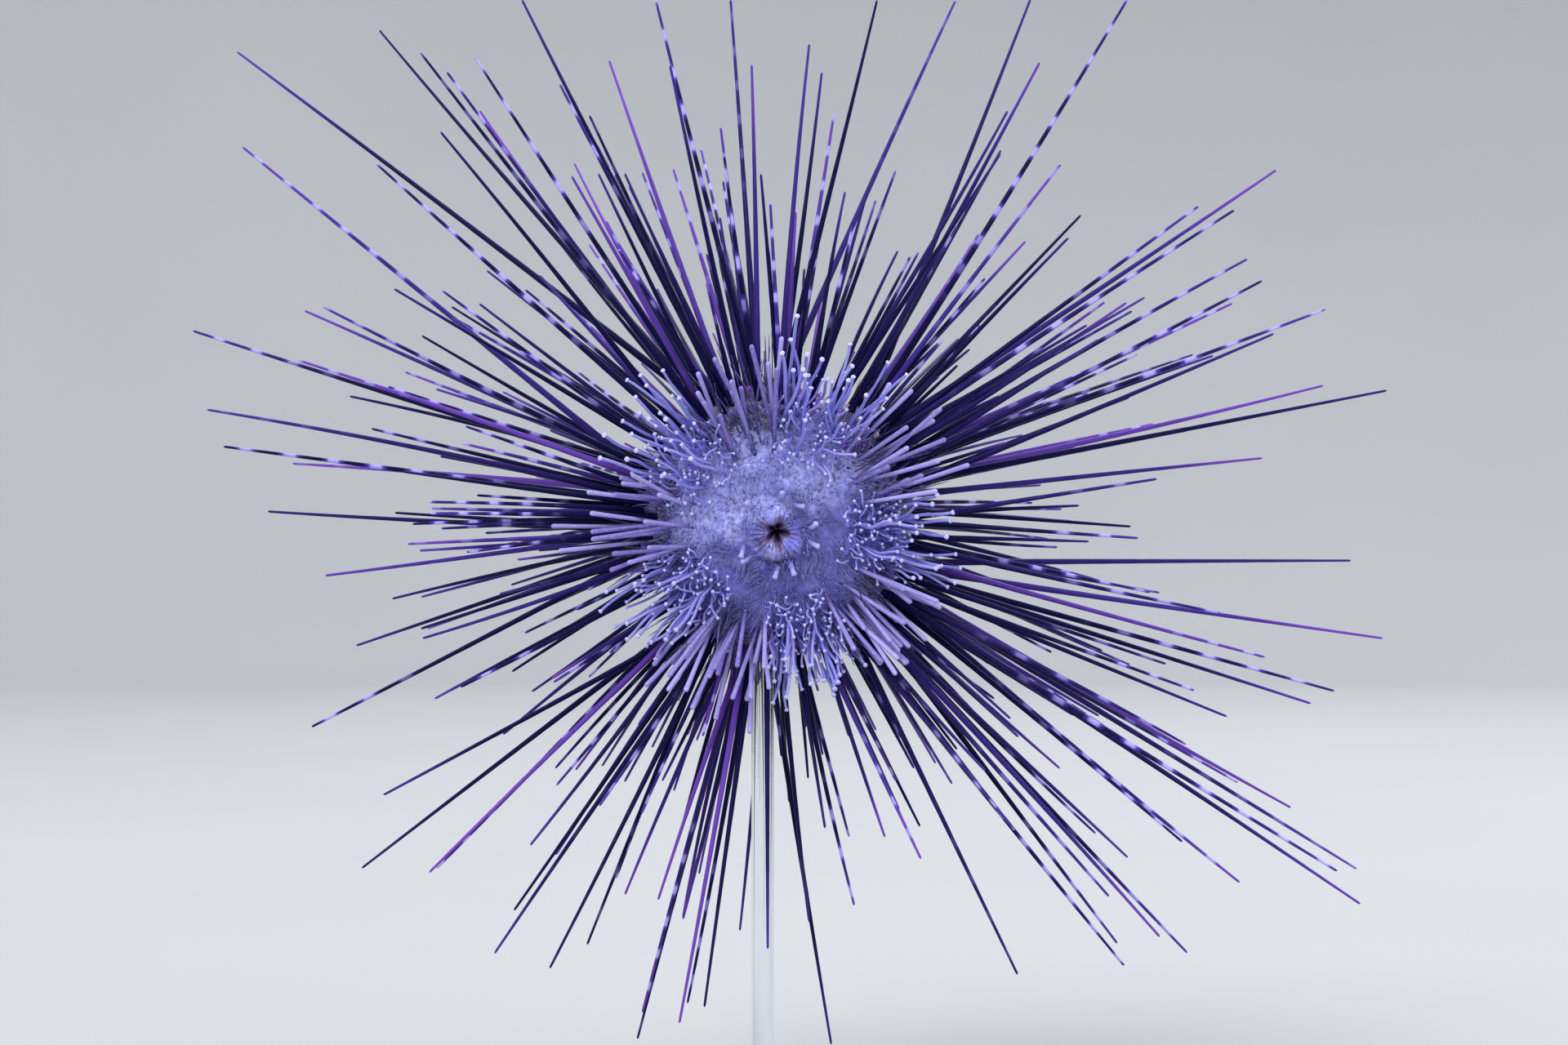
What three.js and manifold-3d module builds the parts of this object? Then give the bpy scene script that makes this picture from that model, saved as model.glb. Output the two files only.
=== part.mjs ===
// A long-spined sea urchin at life size, its mouth side turned to the viewer, on a display stand.
// Millimetres, +Z up. The mouth faces -Y and the origin is the centre of the base's underside.
import * as THREE from "three";
import { mergeVertices } from "three/addons/utils/BufferGeometryUtils.js";
import Module from "manifold-3d";

const wasm = await Module();
wasm.setup();

// Test, the round shell under the spines, in its own frame with the mouth at +Z
const TEST_RADIUS = 30;
const ORAL_HEIGHT = 13;
const ABORAL_HEIGHT = 17;
const ORAL_FULLNESS = 2.5;
const ABORAL_FULLNESS = 2.2;
const GAP = 0.3;
const CORE_RADIUS = 1.6;

// Mouth membrane and anal cone, which close the two poles
const MEMBRANE_RADIUS = 16;
const MEMBRANE_DEPTH = 5;
const LIP_RADIUS = 4.4;
const LIP_HEIGHT = 2.4;
const MOUTH_RADIUS = 2;
const MOUTH_DEPTH = 3;
const CONE_RADIUS = 5;
const CONE_LENGTH = 7;
const CONE_DEPTH = 4;

// Five rows of tube feet alternate with five wider fields of spines
const FIELDS = 5;
const FIELD_TURN = 360 / FIELDS;
const AMBULACRUM_AT = 69;
const AMBULACRUM_HALF = 12;
const INTERAMBULACRUM_HALF = FIELD_TURN / 2 - AMBULACRUM_HALF;

// Long spines, straight and tapering to blunt tips
const SPINE_SIDES = 5;
const SPINE_TIP = 0.28;
const SPINE_THINNEST_ROOT = 0.55;
const SPINE_ROOT_PER_LENGTH = 0.003;
const SUNK = 2.2;

// Their columns down each field: the kind of field, the place between its middle and its edge, the rows
// by their angle from the mouth, and the lengths as shares of the reach less that of the roots
const COLUMNS = [
  { wide: true, share: 0.3, first: 60, last: 160, pitch: 10.5, shortest: 0.5, longest: 0.98 },
  { wide: true, share: 0.7, first: 65, last: 132, pitch: 10.5, shortest: 0.5, longest: 0.95 },
  { wide: false, share: 0.45, first: 66, last: 141, pitch: 12.5, shortest: 0.4, longest: 0.68 },
];
const ROOT_REACH = TEST_RADIUS * 0.6;

// They lean away from the viewer the more the further they grow from the mouth, and no tip comes
// nearer to the viewer than the front limit
const LEAN_PER_ANGLE = 0.98;
const LEAN_SPREAD = 9;
const TURN_SPREAD = 7;
const FRONT_LIMIT = 20;
const STEEPEST = 80;

// The leading spines of the pose: direction on the clock face, anticlockwise from the right,
// distance of the tip from the centre line, and distance behind the centre plane
const LEADING = [
  [12, 139, 0], [21, 131, 0], [29, 120, 0], [35, 136, 0], [44, 90, -5], [56, 140, 0],
  [64, 134, 30], [71, 130, 50], [79, 118, 0], [86, 107, 5], [95, 120, 25], [103, 119, 0],
  [116, 129, 0], [123, 122, -5], [129, 151, 60], [139, 166, 35], [145, 144, -5], [162, 139, 15],
  [169, 129, 0], [179, 116, 20], [187, 100, -8], [204, 112, -8], [215, 106, -5], [220, 128, 50],
  [237, 115, 0], [246, 106, 20], [255, 127, 50], [276, 121, 25], [298, 116, 10], [308, 129, 20],
  [322, 131, 0], [329, 162, 60], [343, 130, 0], [349, 141, 20], [356, 133, 30],
];

// A leading spine grows from the free spot that is nearest by its turn and its row, which lies further
// from the mouth where the tip lies further back
const LEADING_ROW = 88;
const LEADING_ROW_PER_DEPTH = 0.4;
const ROW_WEIGHT = 1 / 3;
const LEADING_TRIES = 6;

// Short blunt spines round the mouth side, in the wide fields
const ORAL_SPINE = { shares: [-0.58, 0, 0.58], first: 33, last: 56, pitch: 7, root: 0.45, club: 0.56 };
const ORAL_SPINE_LENGTH = [9, 24];
const ORAL_SPINE_LEAN = [-15, -60];
const ORAL_SPINE_TURN_SPREAD = 14;
const CLUB_SHARE = 0.06;
const CLUB_TAPER = 0.6;

// Tube feet in a pair of columns down each narrow field, each a stem with a flat disc at its end
const FOOT = { share: 0.62, first: 33, last: 64, pitch: 4.3, stem: 0.32, disc: 0.55, thick: 0.5 };
const FOOT_LENGTH = [8, 19];
const FOOT_RISE = 0.4;
const FOOT_LEAN = [-28, -80];
const FOOT_TURN_SPREAD = [20, 4];

// The longest feet, in the upper two narrow fields and away from the mouth
const LONG_FOOT = { fields: 2, beyond: 50, length: 26 };

// Stout feet in pairs on the membrane
const PODIUM = { ring: 7.4, apart: 11, lift: 0.4, length: 3.6, lean: -50, stem: 0.5, disc: 0.62 };

// Whatever stands off the shell takes the first of its tries that leaves clear room, shorter each time
const CLEAR = 0.36;
const TRIES = 30;
const SHORTENING = 0.5;
const ROOT_CLEARANCE = 0.6;

// What a draw is for, and the numbers that the draws of the short forms count from
const USE = { length: 1, lean: 2, turn: 40 };
const FIRST_ORAL_SPINE = 1000;
const FIRST_FOOT = 2000;

// How finely each form is faceted
const SECTOR_ROWS = 10;
const FOOT_FIELD_STEPS = 3;
const SPINE_FIELD_STEPS = 6;
const SHORT_SPINE_SIDES = 5;
const FOOT_SIDES = 4;
const PODIUM_SIDES = 5;
const MEMBRANE_SIDES = 30;
const CONE_SIDES = 20;
const BASE_SIDES = 56;
const ROD_SIDES = 20;
const CUTTER_SIDES = 48;
const CUTTER_ROWS = 18;
const CUTTER_POLE = 5;

// Pose on the stand
const TIP_DOWN = 12;
const LOWEST_SPINE = 130;
const BASE_RADIUS = 75;
const BASE_THICKNESS = 8;
const BASE_BEVEL = 1.2;
const ROD_RADIUS = 2.5;
const CENTRE = new THREE.Vector3(3, -5, BASE_THICKNESS + LOWEST_SPINE);

const FINISHES = {
  spineField: { color: 0x1b1838, roughness: 0.45, metalness: 0 },
  footField: { color: 0x3b3f86, roughness: 0.55, metalness: 0 },
  membrane: { color: 0x9a9bd6, roughness: 0.6, metalness: 0 },
  cone: { color: 0x2a2440, roughness: 0.5, metalness: 0 },
  base: { color: 0x18181a, roughness: 0.4, metalness: 0 },
  rod: { color: 0xe6edf0, roughness: 0.08, metalness: 0 },
};

const radians = THREE.MathUtils.degToRad;

// The shell's outline: distance from the axis and height, at an angle from the mouth's pole.
function meridian(angle, grow = 0) {
  const oral = angle <= 90;
  const power = 2 / (oral ? ORAL_FULLNESS : ABORAL_FULLNESS);
  const height = (oral ? ORAL_HEIGHT : ABORAL_HEIGHT) + grow;
  const radius = (TEST_RADIUS + grow) * Math.sin(radians(angle)) ** power;
  const rise = height * Math.abs(Math.cos(radians(angle))) ** power;
  return new THREE.Vector2(radius, oral ? rise : -rise);
}

// The angle from the mouth's pole at which the outline has a given distance from the axis.
function angleAtRadius(radius, oral) {
  const power = (oral ? ORAL_FULLNESS : ABORAL_FULLNESS) / 2;
  const angle = THREE.MathUtils.radToDeg(Math.asin((radius / TEST_RADIUS) ** power));
  return oral ? angle : 180 - angle;
}

// A point of the frame given by its distance from the axis, its turn and its height.
function around(radius, turn, height) {
  return new THREE.Vector3(radius * Math.cos(radians(turn)), radius * Math.sin(radians(turn)), height);
}

// A closed surface through rings of points, its two ends covered by the triangles of a cap.
function loft(rings, cap) {
  const count = rings[0].length;
  const index = [];
  for (let ring = 0; ring + 1 < rings.length; ring++) {
    for (let i = 0; i < count; i++) {
      const here = ring * count + i;
      const next = ring * count + ((i + 1) % count);
      index.push(here, next, next + count, here, next + count, here + count);
    }
  }
  const last = (rings.length - 1) * count;
  for (const [a, b, c] of cap) index.push(c, b, a, last + a, last + b, last + c);
  return new THREE.BufferGeometry().setFromPoints(rings.flat()).setIndex(index);
}

// The triangles that cover a convex ring from its first point.
function fan(count) {
  return Array.from({ length: count - 2 }, (_, i) => [0, i + 1, i + 2]);
}

// A body turned about +Z from a profile that runs anticlockwise from its lowest ring.
function turned(profile, sides, shape = (point) => point) {
  const rings = profile.map(([radius, height], row) =>
    Array.from({ length: sides }, (_, i) => shape(around(radius, (360 * i) / sides, height), row)),
  );
  return loft(rings, fan(sides));
}

// A tapering tube through points, with a radius at each and flat ends.
function tube(points, radii, sides) {
  const rings = points.map((point, i) => {
    const ahead = points[Math.min(i + 1, points.length - 1)];
    const along = ahead.clone().sub(points[Math.max(i - 1, 0)]).normalize();
    const turn = new THREE.Quaternion().setFromUnitVectors(new THREE.Vector3(0, 0, 1), along);
    return Array.from({ length: sides }, (_, k) =>
      around(radii[i], (360 * k) / sides, 0).applyQuaternion(turn).add(point),
    );
  });
  return loft(rings, fan(sides));
}

// A draw between 0 and 1 that is always the same for the same two numbers.
function draw(item, use) {
  const wave = Math.sin(item * 127.1 + use * 311.7) * 43758.5453;
  return wave - Math.floor(wave);
}

// A draw between -1 and 1.
function sway(item, use) {
  return 2 * draw(item, use) - 1;
}

// The value that lies at a share of the way from one end to the other.
function between([from, to], share) {
  return from + (to - from) * share;
}

const TILT = new THREE.Quaternion().setFromAxisAngle(new THREE.Vector3(1, 0, 0), radians(TIP_DOWN));

// A point on the tilted shell, raised by a height along the way out.
function onShell(turn, angle, lift = 0) {
  const outline = meridian(angle, lift);
  return around(outline.x, turn, outline.y).applyQuaternion(TILT);
}

// The way out of the tilted shell at a place on it.
function wayOut(turn, angle) {
  const along = meridian(angle + 1).sub(meridian(angle - 1)).normalize();
  return around(-along.y, turn, along.x).applyQuaternion(TILT);
}

// A direction by its place on the clock face and its angle away from the viewer.
function heading(turn, lean) {
  return around(Math.cos(radians(lean)), turn, -Math.sin(radians(lean)));
}

// True where a point stands off the shell by more than a gap.
function offShell(point, gap) {
  const inside = point.clone().applyQuaternion(TILT.clone().conjugate());
  const oral = inside.z > 0;
  const power = oral ? ORAL_FULLNESS : ABORAL_FULLNESS;
  const height = (oral ? ORAL_HEIGHT : ABORAL_HEIGHT) + gap;
  const radius = TEST_RADIUS + gap;
  const across = Math.hypot(inside.x, inside.y) / radius;
  return across ** power + (Math.abs(inside.z) / height) ** power > 1;
}

// The free space between two rods, each a tapering length from one point to another.
function spaceBetween(a, b) {
  const alongA = a.to.clone().sub(a.from);
  const alongB = b.to.clone().sub(b.from);
  const apart = a.from.clone().sub(b.from);
  const aa = alongA.lengthSq();
  const bb = alongB.lengthSq();
  const ab = alongA.dot(alongB);
  const ac = alongA.dot(apart);
  const bc = alongB.dot(apart);
  const clamp = THREE.MathUtils.clamp;
  let s = clamp((ab * bc - ac * bb) / Math.max(aa * bb - ab * ab, 1e-9), 0, 1);
  const t = clamp((ab * s + bc) / bb, 0, 1);
  s = clamp((ab * t - ac) / aa, 0, 1);
  const distance = apart.addScaledVector(alongA, s).addScaledVector(alongB, -t).length();
  const thickA = a.thick + (a.thin - a.thick) * s;
  return distance - thickA - (b.thick + (b.thin - b.thick) * t);
}

// Everything that stands off the shell, the stand's rod first, so that nothing new crosses it
const rods = [
  {
    from: new THREE.Vector3(-CENTRE.x, -LOWEST_SPINE, CENTRE.y),
    to: new THREE.Vector3(-CENTRE.x, -TEST_RADIUS + SUNK, CENTRE.y),
    thick: ROD_RADIUS,
    thin: ROD_RADIUS,
  },
];

// Remembers lengths that stand off the shell and cross nothing, and gives them back, or else null.
function take(lengths) {
  const standsOff = (rod) =>
    offShell(rod.from.clone().lerp(rod.to, 0.25), rod.thick * ROOT_CLEARANCE) &&
    offShell(rod.from.clone().lerp(rod.to, 0.5), rod.thick * ROOT_CLEARANCE) &&
    offShell(rod.to, rod.thick);
  const crossesNothing = (rod) => rods.every((other) => spaceBetween(rod, other) > CLEAR);
  if (!lengths.every((rod) => standsOff(rod) && crossesNothing(rod))) return null;
  rods.push(...lengths);
  return lengths;
}

// Takes the first of a few tries that has room.
function settle(attempt) {
  for (let go = 0; go < TRIES; go++) {
    const made = take(attempt(go));
    if (made) return made;
  }
  return null;
}

// The places in the tilted shell where long spines grow.
function spineSpots() {
  const spots = [];
  for (let field = 0; field < FIELDS; field++) {
    for (const column of COLUMNS) {
      const centre = AMBULACRUM_AT + FIELD_TURN * (field - (column.wide ? 0.5 : 0));
      const half = column.wide ? INTERAMBULACRUM_HALF : AMBULACRUM_HALF;
      for (const side of [-1, 1]) {
        for (let angle = column.first; angle <= column.last; angle += column.pitch) {
          const stagger = side > 0 ? 0 : column.pitch / 2;
          spots.push({ field, column, turn: centre + side * column.share * half, angle: angle + stagger });
        }
      }
    }
  }
  return spots;
}

// How far the spines of the pose reach in a direction, read between the leading ones.
function reachAt(turn) {
  const at = THREE.MathUtils.euclideanModulo(turn, 360);
  const after = LEADING.findIndex(([leading]) => leading > at);
  const [nextTurn, nextReach] = LEADING[after < 0 ? 0 : after];
  const [lastTurn, lastReach] = LEADING.at(after < 0 ? -1 : after - 1);
  const span = THREE.MathUtils.euclideanModulo(nextTurn - lastTurn, 360);
  const share = THREE.MathUtils.euclideanModulo(at - lastTurn, 360) / span;
  return lastReach + (nextReach - lastReach) * share;
}

// The smallest turn between two directions.
function turnBetween(a, b) {
  return Math.abs(THREE.MathUtils.euclideanModulo(a - b + 180, 360) - 180);
}

// A straight spine from its root to its tip.
function spineLength(root, tip) {
  const thick = SPINE_THINNEST_ROOT + SPINE_ROOT_PER_LENGTH * root.distanceTo(tip);
  return { from: root, to: tip, thick, thin: SPINE_TIP };
}

// The long spines: the leading ones take the nearest spots, and the rest fan out from theirs.
function longSpines() {
  const spots = spineSpots();
  const spines = [];
  for (const [turn, reach, behind] of LEADING) {
    const tip = around(reach, turn, -behind);
    const wanted = LEADING_ROW + behind * LEADING_ROW_PER_DEPTH;
    const cost = (spot) => turnBetween(spot.turn, turn) + Math.abs(spot.angle - wanted) * ROW_WEIGHT;
    const open = spots.filter((spot) => spot.column.wide && !spot.taken);
    for (const spot of open.sort((a, b) => cost(a) - cost(b)).slice(0, LEADING_TRIES)) {
      const made = take([spineLength(onShell(spot.turn, spot.angle), tip)]);
      if (!made) continue;
      spot.taken = true;
      spines.push({ spot, rod: made[0] });
      break;
    }
  }
  spots.forEach((spot, item) => {
    if (spot.taken) return;
    const root = onShell(spot.turn, spot.angle);
    const made = settle((go) => {
      const lean = (spot.angle - 90) * LEAN_PER_ANGLE + LEAN_SPREAD * sway(item, USE.lean + go);
      const turn = spot.turn + TURN_SPREAD * sway(item, USE.turn + go) * (1 + go / TRIES);
      const share = between([spot.column.shortest, spot.column.longest], draw(item, USE.length));
      const length = reachAt(turn) * share - ROOT_REACH;
      const steepestFront = Math.asin(Math.min(1, (FRONT_LIMIT - root.z) / length));
      const front = -THREE.MathUtils.radToDeg(steepestFront);
      const along = heading(turn, THREE.MathUtils.clamp(lean, front, STEEPEST));
      return [spineLength(root, root.clone().addScaledVector(along, length))];
    });
    if (made) spines.push({ spot, rod: made[0] });
  });
  return spines;
}

// The short blunt spines that ring the mouth side.
function oralSpines() {
  const spines = [];
  let item = FIRST_ORAL_SPINE;
  for (let field = 0; field < FIELDS; field++) {
    for (const share of ORAL_SPINE.shares) {
      for (let angle = ORAL_SPINE.first; angle <= ORAL_SPINE.last; angle += ORAL_SPINE.pitch) {
        item++;
        const turn = AMBULACRUM_AT + FIELD_TURN * (field - 0.5) + share * INTERAMBULACRUM_HALF;
        const root = onShell(turn, angle);
        const made = settle((go) => {
          const share = draw(item, USE.length) * (1 - (SHORTENING * go) / TRIES);
          const lean = between(ORAL_SPINE_LEAN, draw(item, USE.lean + go));
          const along = heading(turn + ORAL_SPINE_TURN_SPREAD * sway(item, USE.turn + go), lean);
          const tip = root.clone().addScaledVector(along, between(ORAL_SPINE_LENGTH, share));
          return [{ from: root, to: tip, thick: ORAL_SPINE.root, thin: ORAL_SPINE.club }];
        });
        if (made) spines.push({ field, rod: made[0] });
      }
    }
  }
  return spines;
}

// The tube feet, which rise off the shell and bend their own ways.
function tubeFeet() {
  const feet = [];
  let item = FIRST_FOOT;
  for (let field = 0; field < FIELDS; field++) {
    for (const side of [-1, 1]) {
      for (let angle = FOOT.first; angle <= FOOT.last; angle += FOOT.pitch) {
        item++;
        const turn = AMBULACRUM_AT + FIELD_TURN * field + side * FOOT.share * AMBULACRUM_HALF;
        const root = onShell(turn, angle);
        const long = field < LONG_FOOT.fields && angle > LONG_FOOT.beyond;
        const longest = long ? LONG_FOOT.length : FOOT_LENGTH[1];
        const made = settle((go) => {
          const fullest = between([FOOT_LENGTH[0], longest], draw(item, USE.length));
          const length = fullest * (1 - (SHORTENING * go) / TRIES);
          const spread = FOOT_TURN_SPREAD[0] + FOOT_TURN_SPREAD[1] * go;
          const lean = between(FOOT_LEAN, draw(item, USE.lean + go));
          const along = heading(turn + spread * sway(item, USE.turn + go), lean);
          const bend = root.clone().addScaledVector(wayOut(turn, angle), length * FOOT_RISE);
          const tip = bend.clone().addScaledVector(along, length * (1 - FOOT_RISE));
          return [
            { from: root, to: bend, thick: FOOT.stem, thin: FOOT.stem },
            { from: bend, to: tip, thick: FOOT.stem, thin: FOOT.disc },
          ];
        });
        if (made) feet.push({ field, turn, angle, rods: made });
      }
    }
  }
  return feet;
}

// A stem of two lengths that flares to a disc at its end, its root sunk along the way in.
function stemWithDisc(sunk, bend, tip, stem, disc, thick, sides) {
  const neck = tip.clone().add(bend.clone().sub(tip).setLength(thick));
  return tube([sunk, bend, neck, tip], [stem, stem, stem, disc], sides);
}

// A geometry as a solid that can be joined and cut.
function solidOf(geometry) {
  const merged = mergeVertices(geometry.deleteAttribute("normal").deleteAttribute("uv"), 1e-4);
  return new wasm.Manifold(
    new wasm.Mesh({
      numProp: 3,
      vertProperties: merged.attributes.position.array,
      triVerts: new Uint32Array(merged.index.array),
    }),
  );
}

// A named mesh of the largest closed body of a solid.
function meshOf(name, solid, finish) {
  const bodies = solid.decompose().sort((a, b) => b.volume() - a.volume());
  const kept = bodies[0].getMesh();
  const geometry = new THREE.BufferGeometry()
    .setAttribute("position", new THREE.BufferAttribute(new Float32Array(kept.vertProperties), 3))
    .setIndex(new THREE.BufferAttribute(new Uint32Array(kept.triVerts), 1));
  const mesh = new THREE.Mesh(geometry, new THREE.MeshStandardMaterial(finish));
  mesh.name = name;
  return mesh;
}

// One sector of the shell, cut from its neighbours by a thin gap and open at both poles.
function sector(centre, half, steps) {
  const from = angleAtRadius(MEMBRANE_RADIUS + GAP, true);
  const to = angleAtRadius(CONE_RADIUS + GAP, false);
  const profile = [];
  for (let i = 0; i <= SECTOR_ROWS; i++) profile.push(meridian(between([from, to], i / SECTOR_ROWS)));
  const bottom = meridian(to).y + CONE_DEPTH;
  const top = meridian(from).y - MEMBRANE_DEPTH;
  profile.push(new THREE.Vector2(CONE_RADIUS + GAP, bottom));
  profile.push(new THREE.Vector2(CORE_RADIUS, bottom));
  profile.push(new THREE.Vector2(CORE_RADIUS, top));
  profile.push(new THREE.Vector2(MEMBRANE_RADIUS + GAP, top));
  const rings = [];
  for (let step = 0; step <= steps; step++) {
    rings.push(
      profile.map((point) => {
        const inset = THREE.MathUtils.radToDeg(Math.asin(GAP / 2 / point.x));
        const turn = centre + (half - inset) * ((2 * step) / steps - 1);
        return around(point.x, turn, point.y);
      }),
    );
  }
  const flat = profile.map((point) => new THREE.Vector2(point.y, point.x));
  const cap = THREE.ShapeUtils.triangulateShape(flat, []);
  return solidOf(loft(rings, cap).applyQuaternion(TILT));
}

// The soft membrane with its swollen lip and the star-shaped mouth, which has no teeth showing. Its
// outline runs from under the rim to the mouth's floor, and each of its rings has its share of folds.
function membrane() {
  const edge = meridian(angleAtRadius(MEMBRANE_RADIUS, true)).y;
  const profile = [
    [MEMBRANE_RADIUS, edge - MEMBRANE_DEPTH + GAP],
    [MEMBRANE_RADIUS, edge],
    [MEMBRANE_RADIUS * 0.75, edge + 0.6],
    [LIP_RADIUS + 2.4, edge + 0.9],
    [LIP_RADIUS + 1.2, edge + 1.1],
    [LIP_RADIUS, edge + LIP_HEIGHT * 0.9],
    [LIP_RADIUS - 1, edge + LIP_HEIGHT],
    [MOUTH_RADIUS + 0.5, edge + LIP_HEIGHT * 0.7],
    [MOUTH_RADIUS, edge + 0.4],
    [MOUTH_RADIUS * 0.5, edge - MOUTH_DEPTH],
  ];
  const folds = [0, 0, 0, 0, 0.02, 0.05, 0.08, 0.2, 0.28, 0];
  const star = (point, row) => {
    const turn = Math.atan2(point.y, point.x) - radians(AMBULACRUM_AT);
    const swell = 1 + folds[row] * Math.cos(FIELDS * turn);
    return new THREE.Vector3(point.x * swell, point.y * swell, point.z);
  };
  return turned(profile, MEMBRANE_SIDES, star).applyQuaternion(TILT);
}

// The bulb at the upper pole, with its opening.
function analCone() {
  const seat = meridian(angleAtRadius(CONE_RADIUS, false)).y;
  const end = seat - CONE_LENGTH;
  const profile = [
    [0.7, end + 2],
    [1.2, end + 0.2],
    [2.2, end],
    [4, end + 1.4],
    [CONE_RADIUS - 0.2, end + CONE_LENGTH / 2],
    [CONE_RADIUS - 0.8, seat - 0.4],
    [CONE_RADIUS, seat],
    [CONE_RADIUS, seat + CONE_DEPTH - GAP],
  ];
  return turned(profile, CONE_SIDES).applyQuaternion(TILT);
}

// The stout feet that stand in five pairs on the membrane.
function podia() {
  const made = [];
  for (let field = 0; field < FIELDS; field++) {
    for (const side of [-1, 1]) {
      const turn = AMBULACRUM_AT + FIELD_TURN * field + side * PODIUM.apart;
      const angle = angleAtRadius(PODIUM.ring, true);
      const root = onShell(turn, angle, PODIUM.lift);
      const bend = root.clone().addScaledVector(wayOut(turn, angle), PODIUM.length / 2);
      const tip = bend.clone().addScaledVector(heading(turn, PODIUM.lean), PODIUM.length / 2);
      const sunk = root.clone().addScaledVector(wayOut(turn, angle), -SUNK);
      made.push(stemWithDisc(sunk, bend, tip, PODIUM.stem, PODIUM.disc, FOOT.thick, PODIUM_SIDES));
    }
  }
  return made;
}

const spines = longSpines();
const feet = tubeFeet();
const shortSpines = oralSpines();

// The long spines of one kind of field, as geometries with their roots sunk in the shell.
function spinesOf(field, wide) {
  return spines
    .filter(({ spot }) => spot.field === field && spot.column.wide === wide)
    .map(({ rod }) => {
      const inward = rod.from.clone().sub(rod.to).setLength(SUNK);
      return tube([rod.from.clone().add(inward), rod.to], [rod.thick, rod.thin], SPINE_SIDES);
    });
}

// The short blunt spines of a field, thickest just short of the end.
function shortSpinesOf(field) {
  return shortSpines
    .filter((spine) => spine.field === field)
    .map(({ rod }) => {
      const inward = rod.from.clone().sub(rod.to).setLength(SUNK);
      const club = rod.to.clone().lerp(rod.from, CLUB_SHARE);
      const points = [rod.from.clone().add(inward), club, rod.to];
      return tube(points, [rod.thick, rod.thin, rod.thin * CLUB_TAPER], SHORT_SPINE_SIDES);
    });
}

// The tube feet of a field.
function feetOf(field) {
  return feet
    .filter((foot) => foot.field === field)
    .map(({ turn, angle, rods: [lower, upper] }) => {
      const sunk = lower.from.clone().addScaledVector(wayOut(turn, angle), -SUNK / 2);
      return stemWithDisc(sunk, lower.to, upper.to, FOOT.stem, FOOT.disc, FOOT.thick, FOOT_SIDES);
    });
}

// A body joined with the forms that grow from it.
function joined(body, forms) {
  return forms.reduce((solid, form) => solid.add(solidOf(form)), body);
}

const urchin = new THREE.Group();
urchin.position.copy(CENTRE);
urchin.rotation.x = Math.PI / 2;
for (let i = 0; i < FIELDS; i++) {
  const foot = AMBULACRUM_AT + FIELD_TURN * i;
  const footField = sector(foot, AMBULACRUM_HALF, FOOT_FIELD_STEPS);
  const footForms = [...feetOf(i), ...spinesOf(i, false)];
  urchin.add(meshOf("ambulacrum_" + (i + 1), joined(footField, footForms), FINISHES.footField));
  const spineField = sector(foot - FIELD_TURN / 2, INTERAMBULACRUM_HALF, SPINE_FIELD_STEPS);
  const spineForms = [...spinesOf(i, true), ...shortSpinesOf(i)];
  urchin.add(meshOf("interambulacrum_" + (i + 1), joined(spineField, spineForms), FINISHES.spineField));
}
urchin.add(meshOf("peristome", joined(solidOf(membrane()), podia()), FINISHES.membrane));
urchin.add(meshOf("anal_cone", solidOf(analCone()), FINISHES.cone));
urchin.updateMatrixWorld(true);

// The shell grown by the gap, to cut the rod's end to its shape.
function shellCutter() {
  const profile = [];
  for (let i = 0; i <= CUTTER_ROWS; i++) {
    const angle = between([180 - CUTTER_POLE, CUTTER_POLE], i / CUTTER_ROWS);
    profile.push(meridian(angle, GAP).toArray());
  }
  const shell = turned(profile, CUTTER_SIDES).applyQuaternion(TILT);
  return solidOf(shell.applyMatrix4(urchin.matrixWorld));
}

const base = turned(
  [
    [BASE_RADIUS - BASE_BEVEL, 0],
    [BASE_RADIUS, BASE_BEVEL],
    [BASE_RADIUS, BASE_THICKNESS - BASE_BEVEL],
    [BASE_RADIUS - BASE_BEVEL, BASE_THICKNESS],
  ],
  BASE_SIDES,
);
const rodFoot = BASE_THICKNESS + GAP;
const rod = new THREE.CylinderGeometry(ROD_RADIUS, ROD_RADIUS, CENTRE.z - rodFoot, ROD_SIDES);
rod.rotateX(Math.PI / 2).translate(0, 0, (CENTRE.z + rodFoot) / 2);

const model = new THREE.Group();
model.add(urchin);
model.add(meshOf("stand_base", solidOf(base), FINISHES.base));
model.add(meshOf("stand_rod", solidOf(rod).subtract(shellCutter()), FINISHES.rod));

export default model;
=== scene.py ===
"""A long-spined sea urchin on its display stand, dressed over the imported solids.

The animal is grown in its own frame, in millimetres: X to the right, Y up and Z towards the viewer, with
the centre of the shell as the origin. World turns that frame into the row's, in metres.
"""

from __future__ import annotations

import itertools
import logging
import math
from collections.abc import Callable
from dataclasses import dataclass, field
from enum import Enum
from functools import partial

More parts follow.
